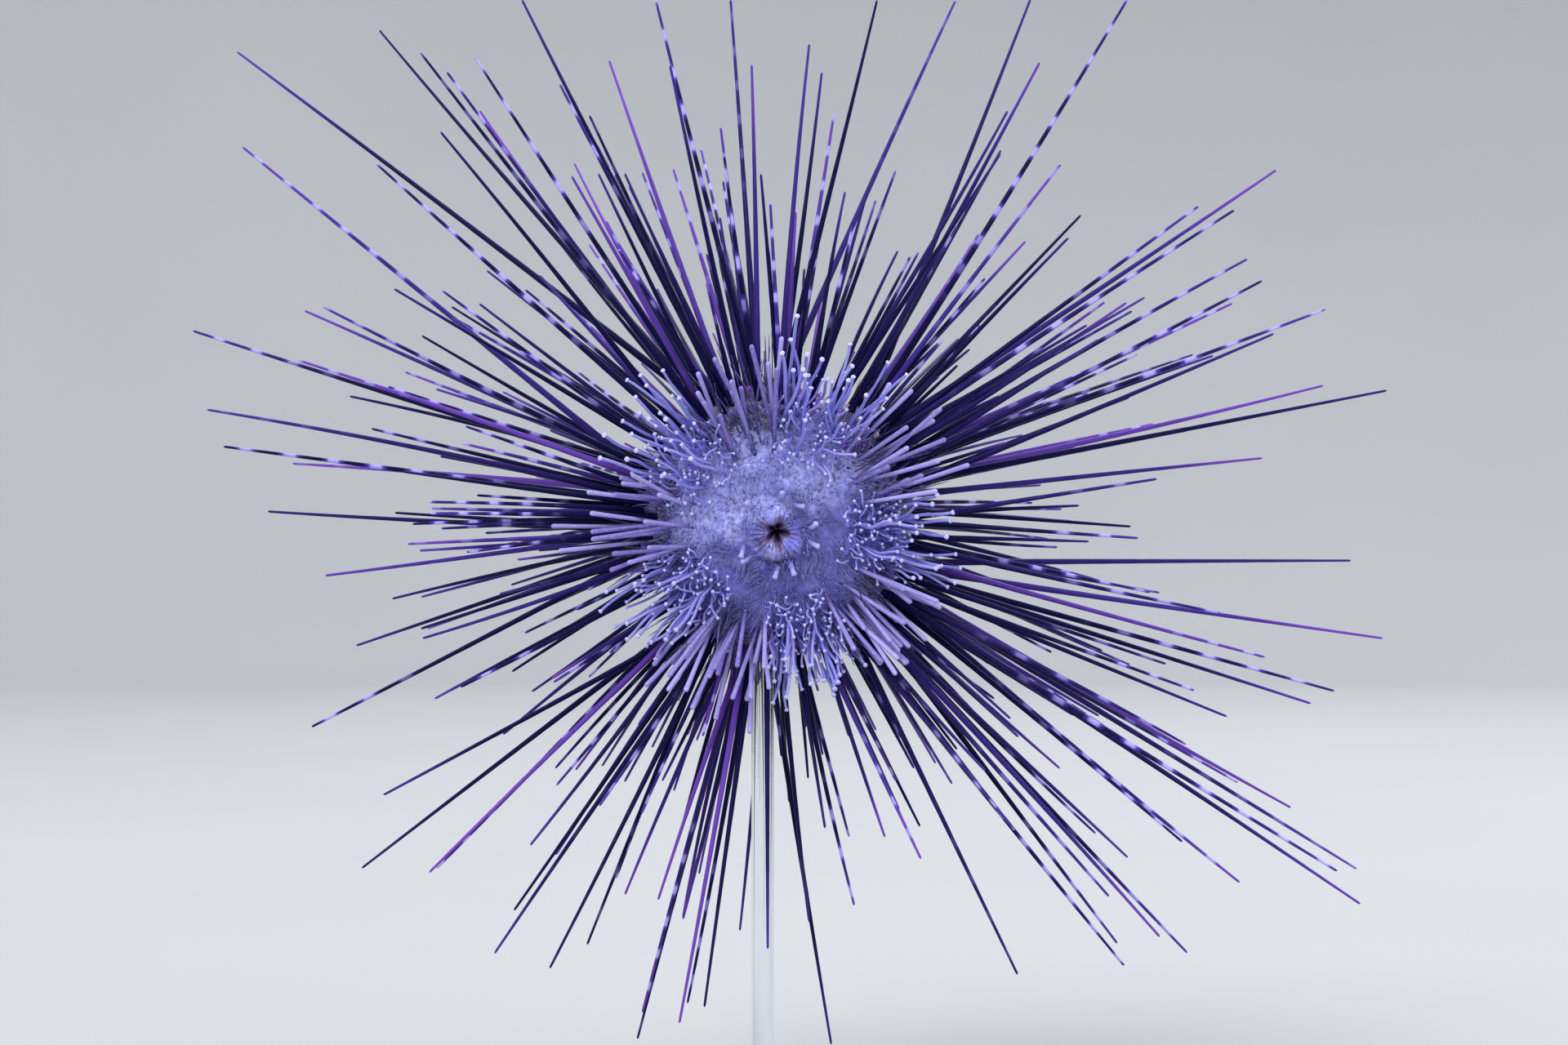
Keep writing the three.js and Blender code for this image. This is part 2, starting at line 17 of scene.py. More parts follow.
import bpy
import numpy as np
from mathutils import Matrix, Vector


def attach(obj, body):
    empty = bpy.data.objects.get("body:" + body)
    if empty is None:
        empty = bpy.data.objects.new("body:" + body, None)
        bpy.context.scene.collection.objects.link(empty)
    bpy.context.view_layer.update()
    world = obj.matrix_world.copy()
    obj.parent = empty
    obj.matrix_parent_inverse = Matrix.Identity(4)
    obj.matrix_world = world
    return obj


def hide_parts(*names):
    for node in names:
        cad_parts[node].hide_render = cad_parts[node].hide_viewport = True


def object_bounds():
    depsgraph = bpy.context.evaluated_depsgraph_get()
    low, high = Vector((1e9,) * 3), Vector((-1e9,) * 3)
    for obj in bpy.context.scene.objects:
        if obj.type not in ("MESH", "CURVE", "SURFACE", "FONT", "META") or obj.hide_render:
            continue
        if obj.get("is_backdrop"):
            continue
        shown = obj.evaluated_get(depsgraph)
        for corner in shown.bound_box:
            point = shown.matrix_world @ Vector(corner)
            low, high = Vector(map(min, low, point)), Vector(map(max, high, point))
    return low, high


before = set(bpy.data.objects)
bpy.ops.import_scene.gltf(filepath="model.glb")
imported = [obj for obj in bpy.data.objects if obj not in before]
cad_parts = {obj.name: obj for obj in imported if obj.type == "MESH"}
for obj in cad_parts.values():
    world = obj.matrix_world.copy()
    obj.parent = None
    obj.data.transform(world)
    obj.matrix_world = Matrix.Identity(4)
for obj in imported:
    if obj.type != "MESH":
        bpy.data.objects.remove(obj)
CAD_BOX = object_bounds()

Array = np.ndarray
Colour = tuple[float, float, float, float]
Ends = tuple[float, float]
Row = tuple[float, ...]

log = logging.getLogger("urchin")

METRES = 0.001
BODY = "root"
BAKE_MAP = "OFBake"
BAKE_PATCH = 0.003
BAKE_SPREAD = 0.48
FIELDS = 5
FIELD_TURN = 360 / FIELDS
EVERY_FIELD = tuple(range(FIELDS))
HASH_WAVES = (127.1, 311.7, 74.7)
HASH_HEIGHT = 43758.5453
LEAST_LENGTH = 1e-12
LEAST_AREA = 1e-9


class Slot(Enum):
    """The record's material slots."""

    SPINES = "spine_field"
    FEET = "foot_field"
    MEMBRANE = "mouth_membrane"
    CONE = "anal_cone"
    BASE = "stand_base"
    ROD = "stand_rod"


class Use(Enum):
    """What a draw is for; lean and turn count on by the try."""

    LENGTH = 1
    LEAN = 2
    TURN = 40
    PLACE = 80
    ROW = 81
    TONE = 82
    BANDS = 83
    PHASE = 84
    BOW = 85


def draw(item: float, use: Use, go: int = 0) -> float:
    """Gives a number between 0 and 1 that is always the same for the same item and use.

    Args:
        item: What the number is drawn for.
        use: What it is used for.
        go: Number of the try.

    Returns:
        The drawn number.
    """
    wave = math.sin(item * HASH_WAVES[0] + (use.value + go) * HASH_WAVES[1]) * HASH_HEIGHT
    return wave - math.floor(wave)


def sway(item: float, use: Use, go: int = 0) -> float:
    """Gives a steady draw between -1 and 1."""
    return 2 * draw(item, use, go) - 1


def between(ends: tuple[float | Array, float | Array], share: float | Array | Field) -> float | Array | Field:
    """Gives the value that lies at a share of the way from one end to the other."""
    return ends[0] + (ends[1] - ends[0]) * share


def steps(first: float, last: float, pitch: float) -> list[float]:
    """Lists the angles from the first to the last, a pitch apart."""
    return [first + row * pitch for row in range(math.floor((last - first) / pitch) + 1)]


def around(radius: Array | float, turn: Array | float, height: Array | float) -> Array:
    """Places points by their distance from an axis, their turn about it and their height.

    Args:
        radius: Distance from the axis.
        turn: Degrees anticlockwise from +X as the viewer sees it.
        height: Height along the axis.

    Returns:
        Points with a last axis of three.
    """
    angle = np.radians(turn)
    parts = np.broadcast_arrays(radius * np.cos(angle), radius * np.sin(angle), height)
    return np.stack(parts, axis=-1).astype(float)


def heading(turn: float, lean: float) -> Array:
    """Gives a direction by its place on the clock face and its lean away from the viewer, in degrees."""
    return around(math.cos(math.radians(lean)), turn, -math.sin(math.radians(lean)))


def unit(vectors: Array) -> Array:
    """Scales vectors to a length of one."""
    return vectors / np.maximum(np.linalg.norm(vectors, axis=-1, keepdims=True), LEAST_LENGTH)


def smooth(value: Array | float, low: float, high: float) -> Array:
    """Rises softly from 0 to 1 as a value goes from low to high."""
    share = np.clip((np.asarray(value, float) - low) / (high - low), 0, 1)
    return share * share * (3 - 2 * share)


def turn_between(a: Array | float, b: Array | float) -> Array:
    """Gives the smallest turn between two directions, in degrees."""
    return np.abs((np.asarray(a) - b + 180) % 360 - 180)


def lumps(points: Array, size: float) -> Array:
    """Gives smooth random lumps over space.

    Args:
        points: Places with a last axis of three.
        size: Distance from one lump to the next.

    Returns:
        A value between -1 and 1 at each place.
    """
    scaled = points / size
    cell = np.floor(scaled)
    part = scaled - cell
    part = part * part * (3 - 2 * part)
    total = np.zeros(points.shape[:-1])
    for corner in itertools.product((0, 1), repeat=3):
        wave = np.sin((cell + corner) @ np.array(HASH_WAVES)) * HASH_HEIGHT
        weight = np.prod(np.where(corner, part, 1 - part), axis=-1)
        total += weight * (2 * (wave - np.floor(wave)) - 1)
    return total


@dataclass(frozen=True)
class Lumps:
    """Random lumps of one kind: how tall they are and how far apart."""

    tall: float
    size: float

    def over(self, points: Array) -> Array:
        """Gives the height of the lumps at each place."""
        return self.tall * lumps(points, self.size)


@dataclass(frozen=True)
class World:
    """Where the animal's own frame lies in the row's frame, in millimetres."""

    x: float = 3.0
    y: float = -5.0
    z: float = 138.0

    def place(self, points: Array) -> Array:
        """Carries points of the animal's frame to the row's frame.

        Args:
            points: Millimetres, with a last axis of three.

        Returns:
            The same points in metres.
        """
        right, up, near = points[..., 0], points[..., 1], points[..., 2]
        return np.stack([self.x + right, self.y - near, self.z + up], axis=-1) * METRES


WORLD = World()


@dataclass(frozen=True)
class Shell:
    """The round shell under the spines, in millimetres and degrees from the mouth's pole."""

    radius: float = 30.0
    oral_height: float = 13.0
    aboral_height: float = 17.0
    oral_fullness: float = 2.5
    aboral_fullness: float = 2.2
    membrane_radius: float = 16.0
    cone_radius: float = 5.0
    tip_down: float = 12.0
    ambulacrum_at: float = 69.0
    ambulacrum_half: float = 12.0
    probe: float = 1.0

    @property
    def wide_half(self) -> float:
        """Half the turn that a wide field of spines takes."""
        return FIELD_TURN / 2 - self.ambulacrum_half

    def middle(self, number: int, wide: bool) -> float:
        """Gives the turn of a field's middle line."""
        return self.ambulacrum_at + FIELD_TURN * (number - (0.5 if wide else 0))

    def meridian(self, angle: Array | float, grow: float = 0.0) -> tuple[Array, Array]:
        """Gives the outline at an angle from the mouth's pole.

        Args:
            angle: Degrees from the mouth's pole.
            grow: How much larger than the shell the outline is.

        Returns:
            The distance from the axis and the height.
        """
        angle = np.asarray(angle, float)
        oral = angle <= 90
        power = np.where(oral, 2 / self.oral_fullness, 2 / self.aboral_fullness)
        height = np.where(oral, self.oral_height, self.aboral_height) + grow
        sine = np.maximum(np.sin(np.radians(angle)), 0)
        rise = height * np.abs(np.cos(np.radians(angle))) ** power
        return (self.radius + grow) * sine**power, np.where(oral, rise, -rise)

    def angle_at(self, radius: float, oral: bool) -> float:
        """Gives the angle from the mouth's pole at which the outline has a distance from the axis.

        Args:
            radius: Distance from the axis.
            oral: Whether the place is on the mouth's side.

        Returns:
            The angle in degrees.
        """
        power = (self.oral_fullness if oral else self.aboral_fullness) / 2
        angle = math.degrees(math.asin((radius / self.radius) ** power))
        return angle if oral else 180 - angle

    def tilt(self, points: Array, back: bool = False) -> Array:
        """Tips points down with the shell.

        Args:
            points: Points or directions with a last axis of three.
            back: Undoes the tilt instead.

        Returns:
            The turned points.
        """
        angle = math.radians(-self.tip_down if back else self.tip_down)
        cosine, sine = math.cos(angle), math.sin(angle)
        x, y, z = points[..., 0], points[..., 1], points[..., 2]
        return np.stack([x, y * cosine - z * sine, y * sine + z * cosine], axis=-1)

    def point(self, turn: Array | float, angle: Array | float, lift: float = 0.0) -> Array:
        """Gives a point on the tilted shell, raised by lift."""
        radius, height = self.meridian(angle, lift)
        return self.tilt(around(radius, turn, height))

    def way_out(self, turn: Array | float, angle: Array | float) -> Array:
        """Gives the outward direction at a place on the tilted shell.

        Args:
            turn: Turn about the shell's axis.
            angle: Degrees from the mouth's pole.

        Returns:
            The direction, with a length of one.
        """
        near = self.meridian(np.asarray(angle) - self.probe)
        far = self.meridian(np.asarray(angle) + self.probe)
        return self.tilt(unit(around(near[1] - far[1], turn, far[0] - near[0])))

    def is_off(self, point: Array, gap: float) -> bool:
        """Says whether a point stands off the shell by more than a gap.

        Args:
            point: A point of the tilted shell's space.
            gap: Room between it and the shell.

        Returns:
            Whether it does.
        """
        inside = self.tilt(point, back=True)
        oral = inside[2] > 0
        power = self.oral_fullness if oral else self.aboral_fullness
        height = (self.oral_height if oral else self.aboral_height) + gap
        across = math.hypot(inside[0], inside[1]) / (self.radius + gap)
        return across**power + (abs(inside[2]) / height) ** power > 1


SHELL = Shell()


@dataclass(frozen=True)
class Column:
    """A pair of columns in which long spines grow down each field.

    Attributes:
        wide: Whether it is in the wide fields or in those of the tube feet.
        share: How far from the field's middle line it lies.
        first: Angle from the mouth's pole of its first spine.
        last: Angle of its last spine.
        pitch: Angle between two spines.
        lengths: Shortest and longest spine, as shares of the reach in its direction.
    """

    wide: bool
    share: float
    first: float
    last: float
    pitch: float
    lengths: Ends


COLUMNS = (
    Column(True, 0.3, 60, 160, 10.5, (0.5, 0.98)),
    Column(True, 0.7, 65, 132, 10.5, (0.5, 0.95)),
    Column(False, 0.45, 66, 141, 12.5, (0.4, 0.68)),
)

# The leading spines: clock-face direction, distance of the tip from the centre line, distance behind it
LEADING = (
    (12, 139, 0), (21, 131, 0), (29, 120, 0), (35, 136, 0), (44, 90, -5), (56, 140, 0),
    (64, 134, 30), (71, 130, 50), (79, 118, 0), (86, 107, 5), (95, 120, 25), (103, 119, 0),
    (116, 129, 0), (123, 122, -5), (129, 151, 60), (139, 166, 35), (145, 144, -5), (162, 139, 15),
    (169, 129, 0), (179, 116, 20), (187, 100, -8), (204, 112, -8), (215, 106, -5), (220, 128, 50),
    (237, 115, 0), (246, 106, 20), (255, 127, 50), (276, 121, 25), (298, 116, 10), (308, 129, 20),
    (322, 131, 0), (329, 162, 60), (343, 130, 0), (349, 141, 20), (356, 133, 30),
)


@dataclass(frozen=True)
class Root:
    """Where something grows from the shell.

    Attributes:
        number: Number of its field.
        wide: Whether that is a wide field.
        turn: Turn about the shell's axis.
        angle: Angle from the mouth's pole.
        item: What its draws go by.
    """

    number: int
    wide: bool
    turn: float
    angle: float
    item: int

    @property
    def point(self) -> Array:
        """Its place on the shell."""
        return SHELL.point(self.turn, self.angle)

    @property
    def out(self) -> Array:
        """The outward direction there."""
        return SHELL.way_out(self.turn, self.angle)


@dataclass
class Rod:
    """A tapering length from one point to another."""

    start: Array
    end: Array
    thick: float
    thin: float

    @property
    def along(self) -> Array:
        """The way from its start to its end."""
        return self.end - self.start


@dataclass
class Sprout:
    """Something that has grown: its root, and its lengths from there on."""

    root: Root
    rods: list[Rod]

    @property
    def length(self) -> float:
        """The summed length of its rods."""
        return float(sum(np.linalg.norm(rod.along) for rod in self.rods))


Attempt = Callable[[Root, int], list[Rod]]


@dataclass(frozen=True)
class Crop:
    """More sprouts that are tried between those of the solids.

    Attributes:
        count: How many are tried.
        first_item: Number that their draws count from.
        wide: Whether they grow in the wide fields.
        numbers: The fields they grow in, in turn.
        rows: First and last angle of their roots.
        spread: How far from a field's middle line they grow.
        tries: How often each is tried.
    """

    count: int
    first_item: int
    wide: bool
    numbers: tuple[int, ...]
    rows: Ends
    spread: float
    tries: int


FURTHER_FEET = Crop(
    count=190, first_item=7000, wide=False, numbers=EVERY_FIELD, rows=(46, 74), spread=17, tries=14
)
NEAR_FEET = Crop(
    count=620, first_item=7500, wide=False, numbers=EVERY_FIELD, rows=(27, 60), spread=23, tries=8
)
FURTHER_SHORT = Crop(
    count=80, first_item=5000, wide=True, numbers=(2, 3, 4, 3, 4, 0), rows=(42, 66), spread=24, tries=14
)
FURTHER_LONG = Crop(
    count=330, first_item=9000, wide=True, numbers=EVERY_FIELD, rows=(57, 165), spread=24, tries=12
)


@dataclass
class Thicket:
    """Grows all that stands off the shell, so that nothing crosses what grew before it.

    Lengths are in millimetres and directions in degrees; a lean is one away from the viewer.
    """

    clear: float = 0.36
    crowded: float = 0.1
    tries: int = 30
    shortening: float = 0.5
    root_clearance: float = 0.6
    root_shares: tuple[float, float] = (0.25, 0.5)
    sunk: float = 2.2
    rod_radius: float = 2.5
    lowest: float = 130.0
    spine_tip: float = 0.28
    spine_root: float = 0.55
    spine_root_per_length: float = 0.003
    root_reach: float = 18.0
    lean_per_angle: float = 0.98
    lean_spread: float = 9.0
    turn_spread: float = 7.0
    front_limit: float = 20.0
    steepest: float = 80.0
    leading_row: float = 88.0
    leading_row_per_depth: float = 0.4
    row_weight: float = 1 / 3
    leading_tries: int = 6
    further_lengths: Ends = (0.3, 0.82)
    first_foot: int = 2000
    foot_share: float = 0.62
    foot_rows: tuple[float, float, float] = (33, 64, 4.3)
    foot_lengths: Ends = (8, 19)
    long_foot: float = 26.0
    long_foot_fields: int = 2
    long_foot_beyond: float = 50.0
    foot_rise: float = 0.4
    foot_leans: Ends = (-28, -80)
    foot_turn_spread: tuple[float, float] = (20, 4)
    foot_stem: float = 0.32
    foot_disc: float = 0.55
    near_foot_lengths: Ends = (3.5, 9)
    near_foot_leans: Ends = (-15, -85)
    near_foot_turns: Ends = (180, 35)
    near_foot_rows: Ends = (34, 56)
    near_foot_stem: float = 0.22
    near_foot_disc: float = 0.38
    first_short: int = 1000
    short_shares: Row = (-0.58, 0, 0.58)
    short_rows: tuple[float, float, float] = (33, 56, 7)
    short_lengths: Ends = (9, 24)
    short_leans: Ends = (-15, -60)
    short_turn_spread: float = 14.0
    short_thick: float = 0.45
    short_club: float = 0.56
    kept: Array = field(init=False)

    def __post_init__(self) -> None:
        """Starts with the stand's rod."""
        foot = np.array([-WORLD.x, -self.lowest, WORLD.y])
        top = np.array([-WORLD.x, -SHELL.radius + self.sunk, WORLD.y])
        self.kept = self.rows([Rod(foot, top, self.rod_radius, self.rod_radius)])

    @staticmethod
    def rows(rods: list[Rod]) -> Array:
        """Writes each rod as a row: its start, its way, and its two radii."""
        return np.array([np.concatenate([rod.start, rod.along, [rod.thick, rod.thin]]) for rod in rods])

    def keep(self, rods: list[Rod]) -> None:
        """Remembers rods for what grows later."""
        self.kept = np.vstack([self.kept, self.rows(rods)])

    def space_round(self, rod: Rod) -> float:
        """Gives the smallest free space between a rod and all that grew before it.

        Args:
            rod: The rod that asks for room.

        Returns:
            The space in millimetres, below 0 where they cross.
        """
        starts, alongs = self.kept[:, :3], self.kept[:, 3:6]
        thick, thin = self.kept[:, 6], self.kept[:, 7]
        along = rod.along
        apart = rod.start - starts
        aa = along @ along
        bb = np.einsum("ij,ij->i", alongs, alongs)
        ab = alongs @ along
        ac = apart @ along
        bc = np.einsum("ij,ij->i", alongs, apart)
        s = np.clip((ab * bc - ac * bb) / np.maximum(aa * bb - ab * ab, LEAST_AREA), 0, 1)
        t = np.clip((ab * s + bc) / bb, 0, 1)
        s = np.clip((ab * t - ac) / aa, 0, 1)
        gaps = apart + along * s[:, None] - alongs * t[:, None]
        own = rod.thick + (rod.thin - rod.thick) * s
        return float(np.min(np.linalg.norm(gaps, axis=1) - own - thick - (thin - thick) * t))

    def stands_off(self, rod: Rod) -> bool:
        """Says whether a rod leaves the shell at its root and stays off it.

        Args:
            rod: The rod that starts on the shell, or above it.

        Returns:
            Whether it does.
        """
        gap = rod.thick * self.root_clearance
        near_root = all(SHELL.is_off(rod.start + rod.along * share, gap) for share in self.root_shares)
        return near_root and SHELL.is_off(rod.end, rod.thick)

    def settle(self, root: Root, attempt: Attempt, clear: float, tries: int) -> Sprout | None:
        """Takes the first of a few tries that stands off the shell and crosses nothing.

        Args:
            root: Where it grows.
            attempt: Makes the rods of a numbered try.
            clear: Room to leave.
            tries: How often it is tried.

        Returns:
            The sprout, or None where no try has room.
        """
        for go in range(tries):
            made = attempt(root, go)
            if all(self.stands_off(rod) and self.space_round(rod) > clear for rod in made):
                self.keep(made)
                return Sprout(root, made)
        return None

    def grow(self, roots: list[Root], attempt: Attempt) -> list[Sprout]:
        """Grows a sprout from each root of the solids that has room for one."""
        grown = [self.settle(root, attempt, self.clear, self.tries) for root in roots]
        return [sprout for sprout in grown if sprout]

    def further(self, crop: Crop, attempt: Attempt) -> list[Sprout]:
        """Grows a further crop between what stands.

        Args:
            crop: How many, and where.
            attempt: Makes the rods of a numbered try.

        Returns:
            The sprouts.
        """
        sprouts = []
        for item in range(crop.first_item, crop.first_item + crop.count):
            number = crop.numbers[item % len(crop.numbers)]
            turn = SHELL.middle(number, crop.wide) + sway(item, Use.PLACE) * crop.spread
            root = Root(number, crop.wide, turn, between(crop.rows, draw(item, Use.ROW)), item)
            sprout = self.settle(root, attempt, self.crowded, crop.tries)
            if sprout:
                sprouts.append(sprout)
        return sprouts

    @staticmethod
    def spots() -> dict[Root, Column]:
        """Lists the roots of the solids' long spines.

        Returns:
            Each root with its column.
        """
        spots = {}
        for number, column, side in itertools.product(range(FIELDS), COLUMNS, (-1, 1)):
            half = SHELL.wide_half if column.wide else SHELL.ambulacrum_half
            turn = SHELL.middle(number, column.wide) + side * column.share * half
            stagger = 0 if side > 0 else column.pitch / 2
            for angle in steps(column.first, column.last, column.pitch):
                spots[Root(number, column.wide, turn, angle + stagger, len(spots))] = column
        return spots

    @staticmethod
    def reach_at(turn: float) -> float:
        """Gives how far the spines reach in a direction, read between the leading ones."""
        turns, reaches, _ = zip(*LEADING)
        return float(np.interp(turn % 360, turns, reaches, period=360))

    def spine(self, root: Array, tip: Array) -> Rod:
        """Makes a straight long spine from its root to its tip."""
        thick = self.spine_root + self.spine_root_per_length * float(np.linalg.norm(tip - root))
        return Rod(root, tip, thick, self.spine_tip)

    def fanned(self, root: Root, lengths: tuple[float, float], go: int) -> list[Rod]:
        """Makes one try of a long spine that fans out from its root.

        Args:
            root: Where it grows.
            lengths: Shortest and longest, as shares of the reach.
            go: Number of the try.

        Returns:
            The spine.
        """
        start = root.point
        lean = (root.angle - 90) * self.lean_per_angle + self.lean_spread * sway(root.item, Use.LEAN, go)
        aim = root.turn + self.turn_spread * sway(root.item, Use.TURN, go) * (1 + go / self.tries)
        length = self.reach_at(aim) * between(lengths, draw(root.item, Use.LENGTH)) - self.root_reach
        front = -math.degrees(math.asin(min(1, (self.front_limit - start[2]) / length)))
        return [self.spine(start, start + heading(aim, min(max(lean, front), self.steepest)) * length)]

    def further_spine(self, root: Root, go: int) -> list[Rod]:
        """Makes one try of a shorter long spine between the others."""
        return self.fanned(root, self.further_lengths, go)

    def leading_spine(self, tip: Array, root: Root, go: int) -> list[Rod]:
        """Makes a leading spine, which reaches its own tip at every try."""
        return [self.spine(root.point, tip)]

    def column_spine(self, columns: dict[Root, Column], root: Root, go: int) -> list[Rod]:
        """Makes one try of a long spine as long as its column says."""
        return self.fanned(root, columns[root].lengths, go)

    def strayed(self, turn: float, behind: float, root: Root) -> float:
        """Says how far a root lies from the place that a leading spine asks for.

        Args:
            turn: The spine's direction.
            behind: How far its tip lies behind the shell's centre.
            root: The root.

        Returns:
            The distance in degrees.
        """
        row = self.leading_row + behind * self.leading_row_per_depth
        return float(turn_between(root.turn, turn) + abs(root.angle - row) * self.row_weight)

    def long_spines(self) -> list[Sprout]:
        """Grows the solids' long spines: the leading ones first, and then the rest.

        Returns:
            The spines.
        """
        free = self.spots()
        sprouts = []
        for turn, reach, behind in LEADING:
            attempt = partial(self.leading_spine, around(reach, turn, -behind))
            wide_roots = [root for root in free if root.wide]
            nearest = sorted(wide_roots, key=partial(self.strayed, turn, behind))
            for root in nearest[: self.leading_tries]:
                sprout = self.settle(root, attempt, self.clear, 1)
                if sprout:
                    sprouts.append(sprout)
                    del free[root]
                    break
        return sprouts + self.grow(list(free), partial(self.column_spine, free))

    def bent(self, root: Root, length: float, aim: Array, stem: float, disc: float) -> list[Rod]:
        """Makes a tube foot, which rises off the shell and then bends its own way.

        Args:
            root: Where it grows.
            length: Its length.
            aim: Direction of its outer part.
            stem: Radius of its stem.
            disc: Radius of its disc.

        Returns:
            Its two lengths.
        """
        bend = root.point + root.out * length * self.foot_rise
        tip = bend + aim * length * (1 - self.foot_rise)
        return [Rod(root.point, bend, stem, stem), Rod(bend, tip, stem, disc)]

    def foot(self, root: Root, go: int) -> list[Rod]:
        """Makes one try of an outward tube foot.

        Args:
            root: Where it grows.
            go: Number of the try.

        Returns:
            Its two lengths.
        """
        long = root.number < self.long_foot_fields and root.angle > self.long_foot_beyond
        longest = self.long_foot if long else self.foot_lengths[1]
        fullest = between((self.foot_lengths[0], longest), draw(root.item, Use.LENGTH))
        length = fullest * (1 - self.shortening * go / self.tries)
        spread = self.foot_turn_spread[0] + self.foot_turn_spread[1] * go
        lean = between(self.foot_leans, draw(root.item, Use.LEAN, go))
        aim = heading(root.turn + spread * sway(root.item, Use.TURN, go), lean)
        return self.bent(root, length, aim, self.foot_stem, self.foot_disc)

    def near_foot(self, root: Root, go: int) -> list[Rod]:
        """Makes one try of a short thin tube foot, which is the freer the nearer it is to the mouth.

        Args:
            root: Where it grows.
            go: Number of the try.

        Returns:
            Its two lengths.
        """
        freedom = between(self.near_foot_turns, float(smooth(root.angle, *self.near_foot_rows)))
        length = between(self.near_foot_lengths, draw(root.item, Use.LENGTH, go))
        lean = between(self.near_foot_leans, draw(root.item, Use.LEAN, go))
        aim = heading(root.turn + freedom * sway(root.item, Use.TURN, go), lean)
        return self.bent(root, length, aim, self.near_foot_stem, self.near_foot_disc)

    def tube_feet(self) -> list[Sprout]:
        """Grows the solids' tube feet, in a pair of columns down each narrow field.

        Returns:
            The feet.
        """
        roots = []
        for number, side in itertools.product(range(FIELDS), (-1, 1)):
            turn = SHELL.middle(number, False) + side * self.foot_share * SHELL.ambulacrum_half
            for angle in steps(*self.foot_rows):
                roots.append(Root(number, False, turn, angle, self.first_foot + len(roots) + 1))
        return self.grow(roots, self.foot)

    def short_spine(self, root: Root, go: int) -> list[Rod]:
        """Makes one try of a short blunt spine, thickest near its end.

        Args:
            root: Where it grows.
            go: Number of the try.

        Returns:
            The spine.
        """
        share = draw(root.item, Use.LENGTH) * (1 - self.shortening * go / self.tries)
        lean = between(self.short_leans, draw(root.item, Use.LEAN, go))
        aim = heading(root.turn + self.short_turn_spread * sway(root.item, Use.TURN, go), lean)
        tip = root.point + aim * between(self.short_lengths, share)
        return [Rod(root.point, tip, self.short_thick, self.short_club)]

    def short_spines(self) -> list[Sprout]:
        """Grows the solids' short blunt spines round the mouth side.

        Returns:
            The spines.
        """
        roots = []
        for number, share in itertools.product(range(FIELDS), self.short_shares):
            turn = SHELL.middle(number, True) + share * SHELL.wide_half
            for angle in steps(*self.short_rows):
                roots.append(Root(number, True, turn, angle, self.first_short + len(roots) + 1))
        return self.grow(roots, self.short_spine)


def make_mesh(name: str, points: Array, corners: Array, sizes: Array) -> bpy.types.Object:
    """Makes a smooth mesh object from arrays.

    Args:
        name: The piece's name.
        points: Vertices in millimetres, in the animal's frame.
        corners: Vertex number of each corner of each face, in turn.
        sizes: Number of corners of each face.

    Returns:
        The linked object.
    """
    mesh = bpy.data.meshes.new(name)
    mesh.vertices.add(len(points))
    mesh.vertices.foreach_set("co", WORLD.place(points).astype(np.float32).ravel())
    mesh.loops.add(len(corners))
    mesh.loops.foreach_set("vertex_index", corners.astype(np.int32))
    mesh.polygons.add(len(sizes))
    mesh.polygons.foreach_set("loop_start", (np.cumsum(sizes) - sizes).astype(np.int32))
    mesh.update(calc_edges=True)
    mesh.shade_smooth()
    thing = bpy.data.objects.new(name, mesh)
    bpy.context.scene.collection.objects.link(thing)
    return thing


Unwrap = Callable[[Array, Array, Array], Array]


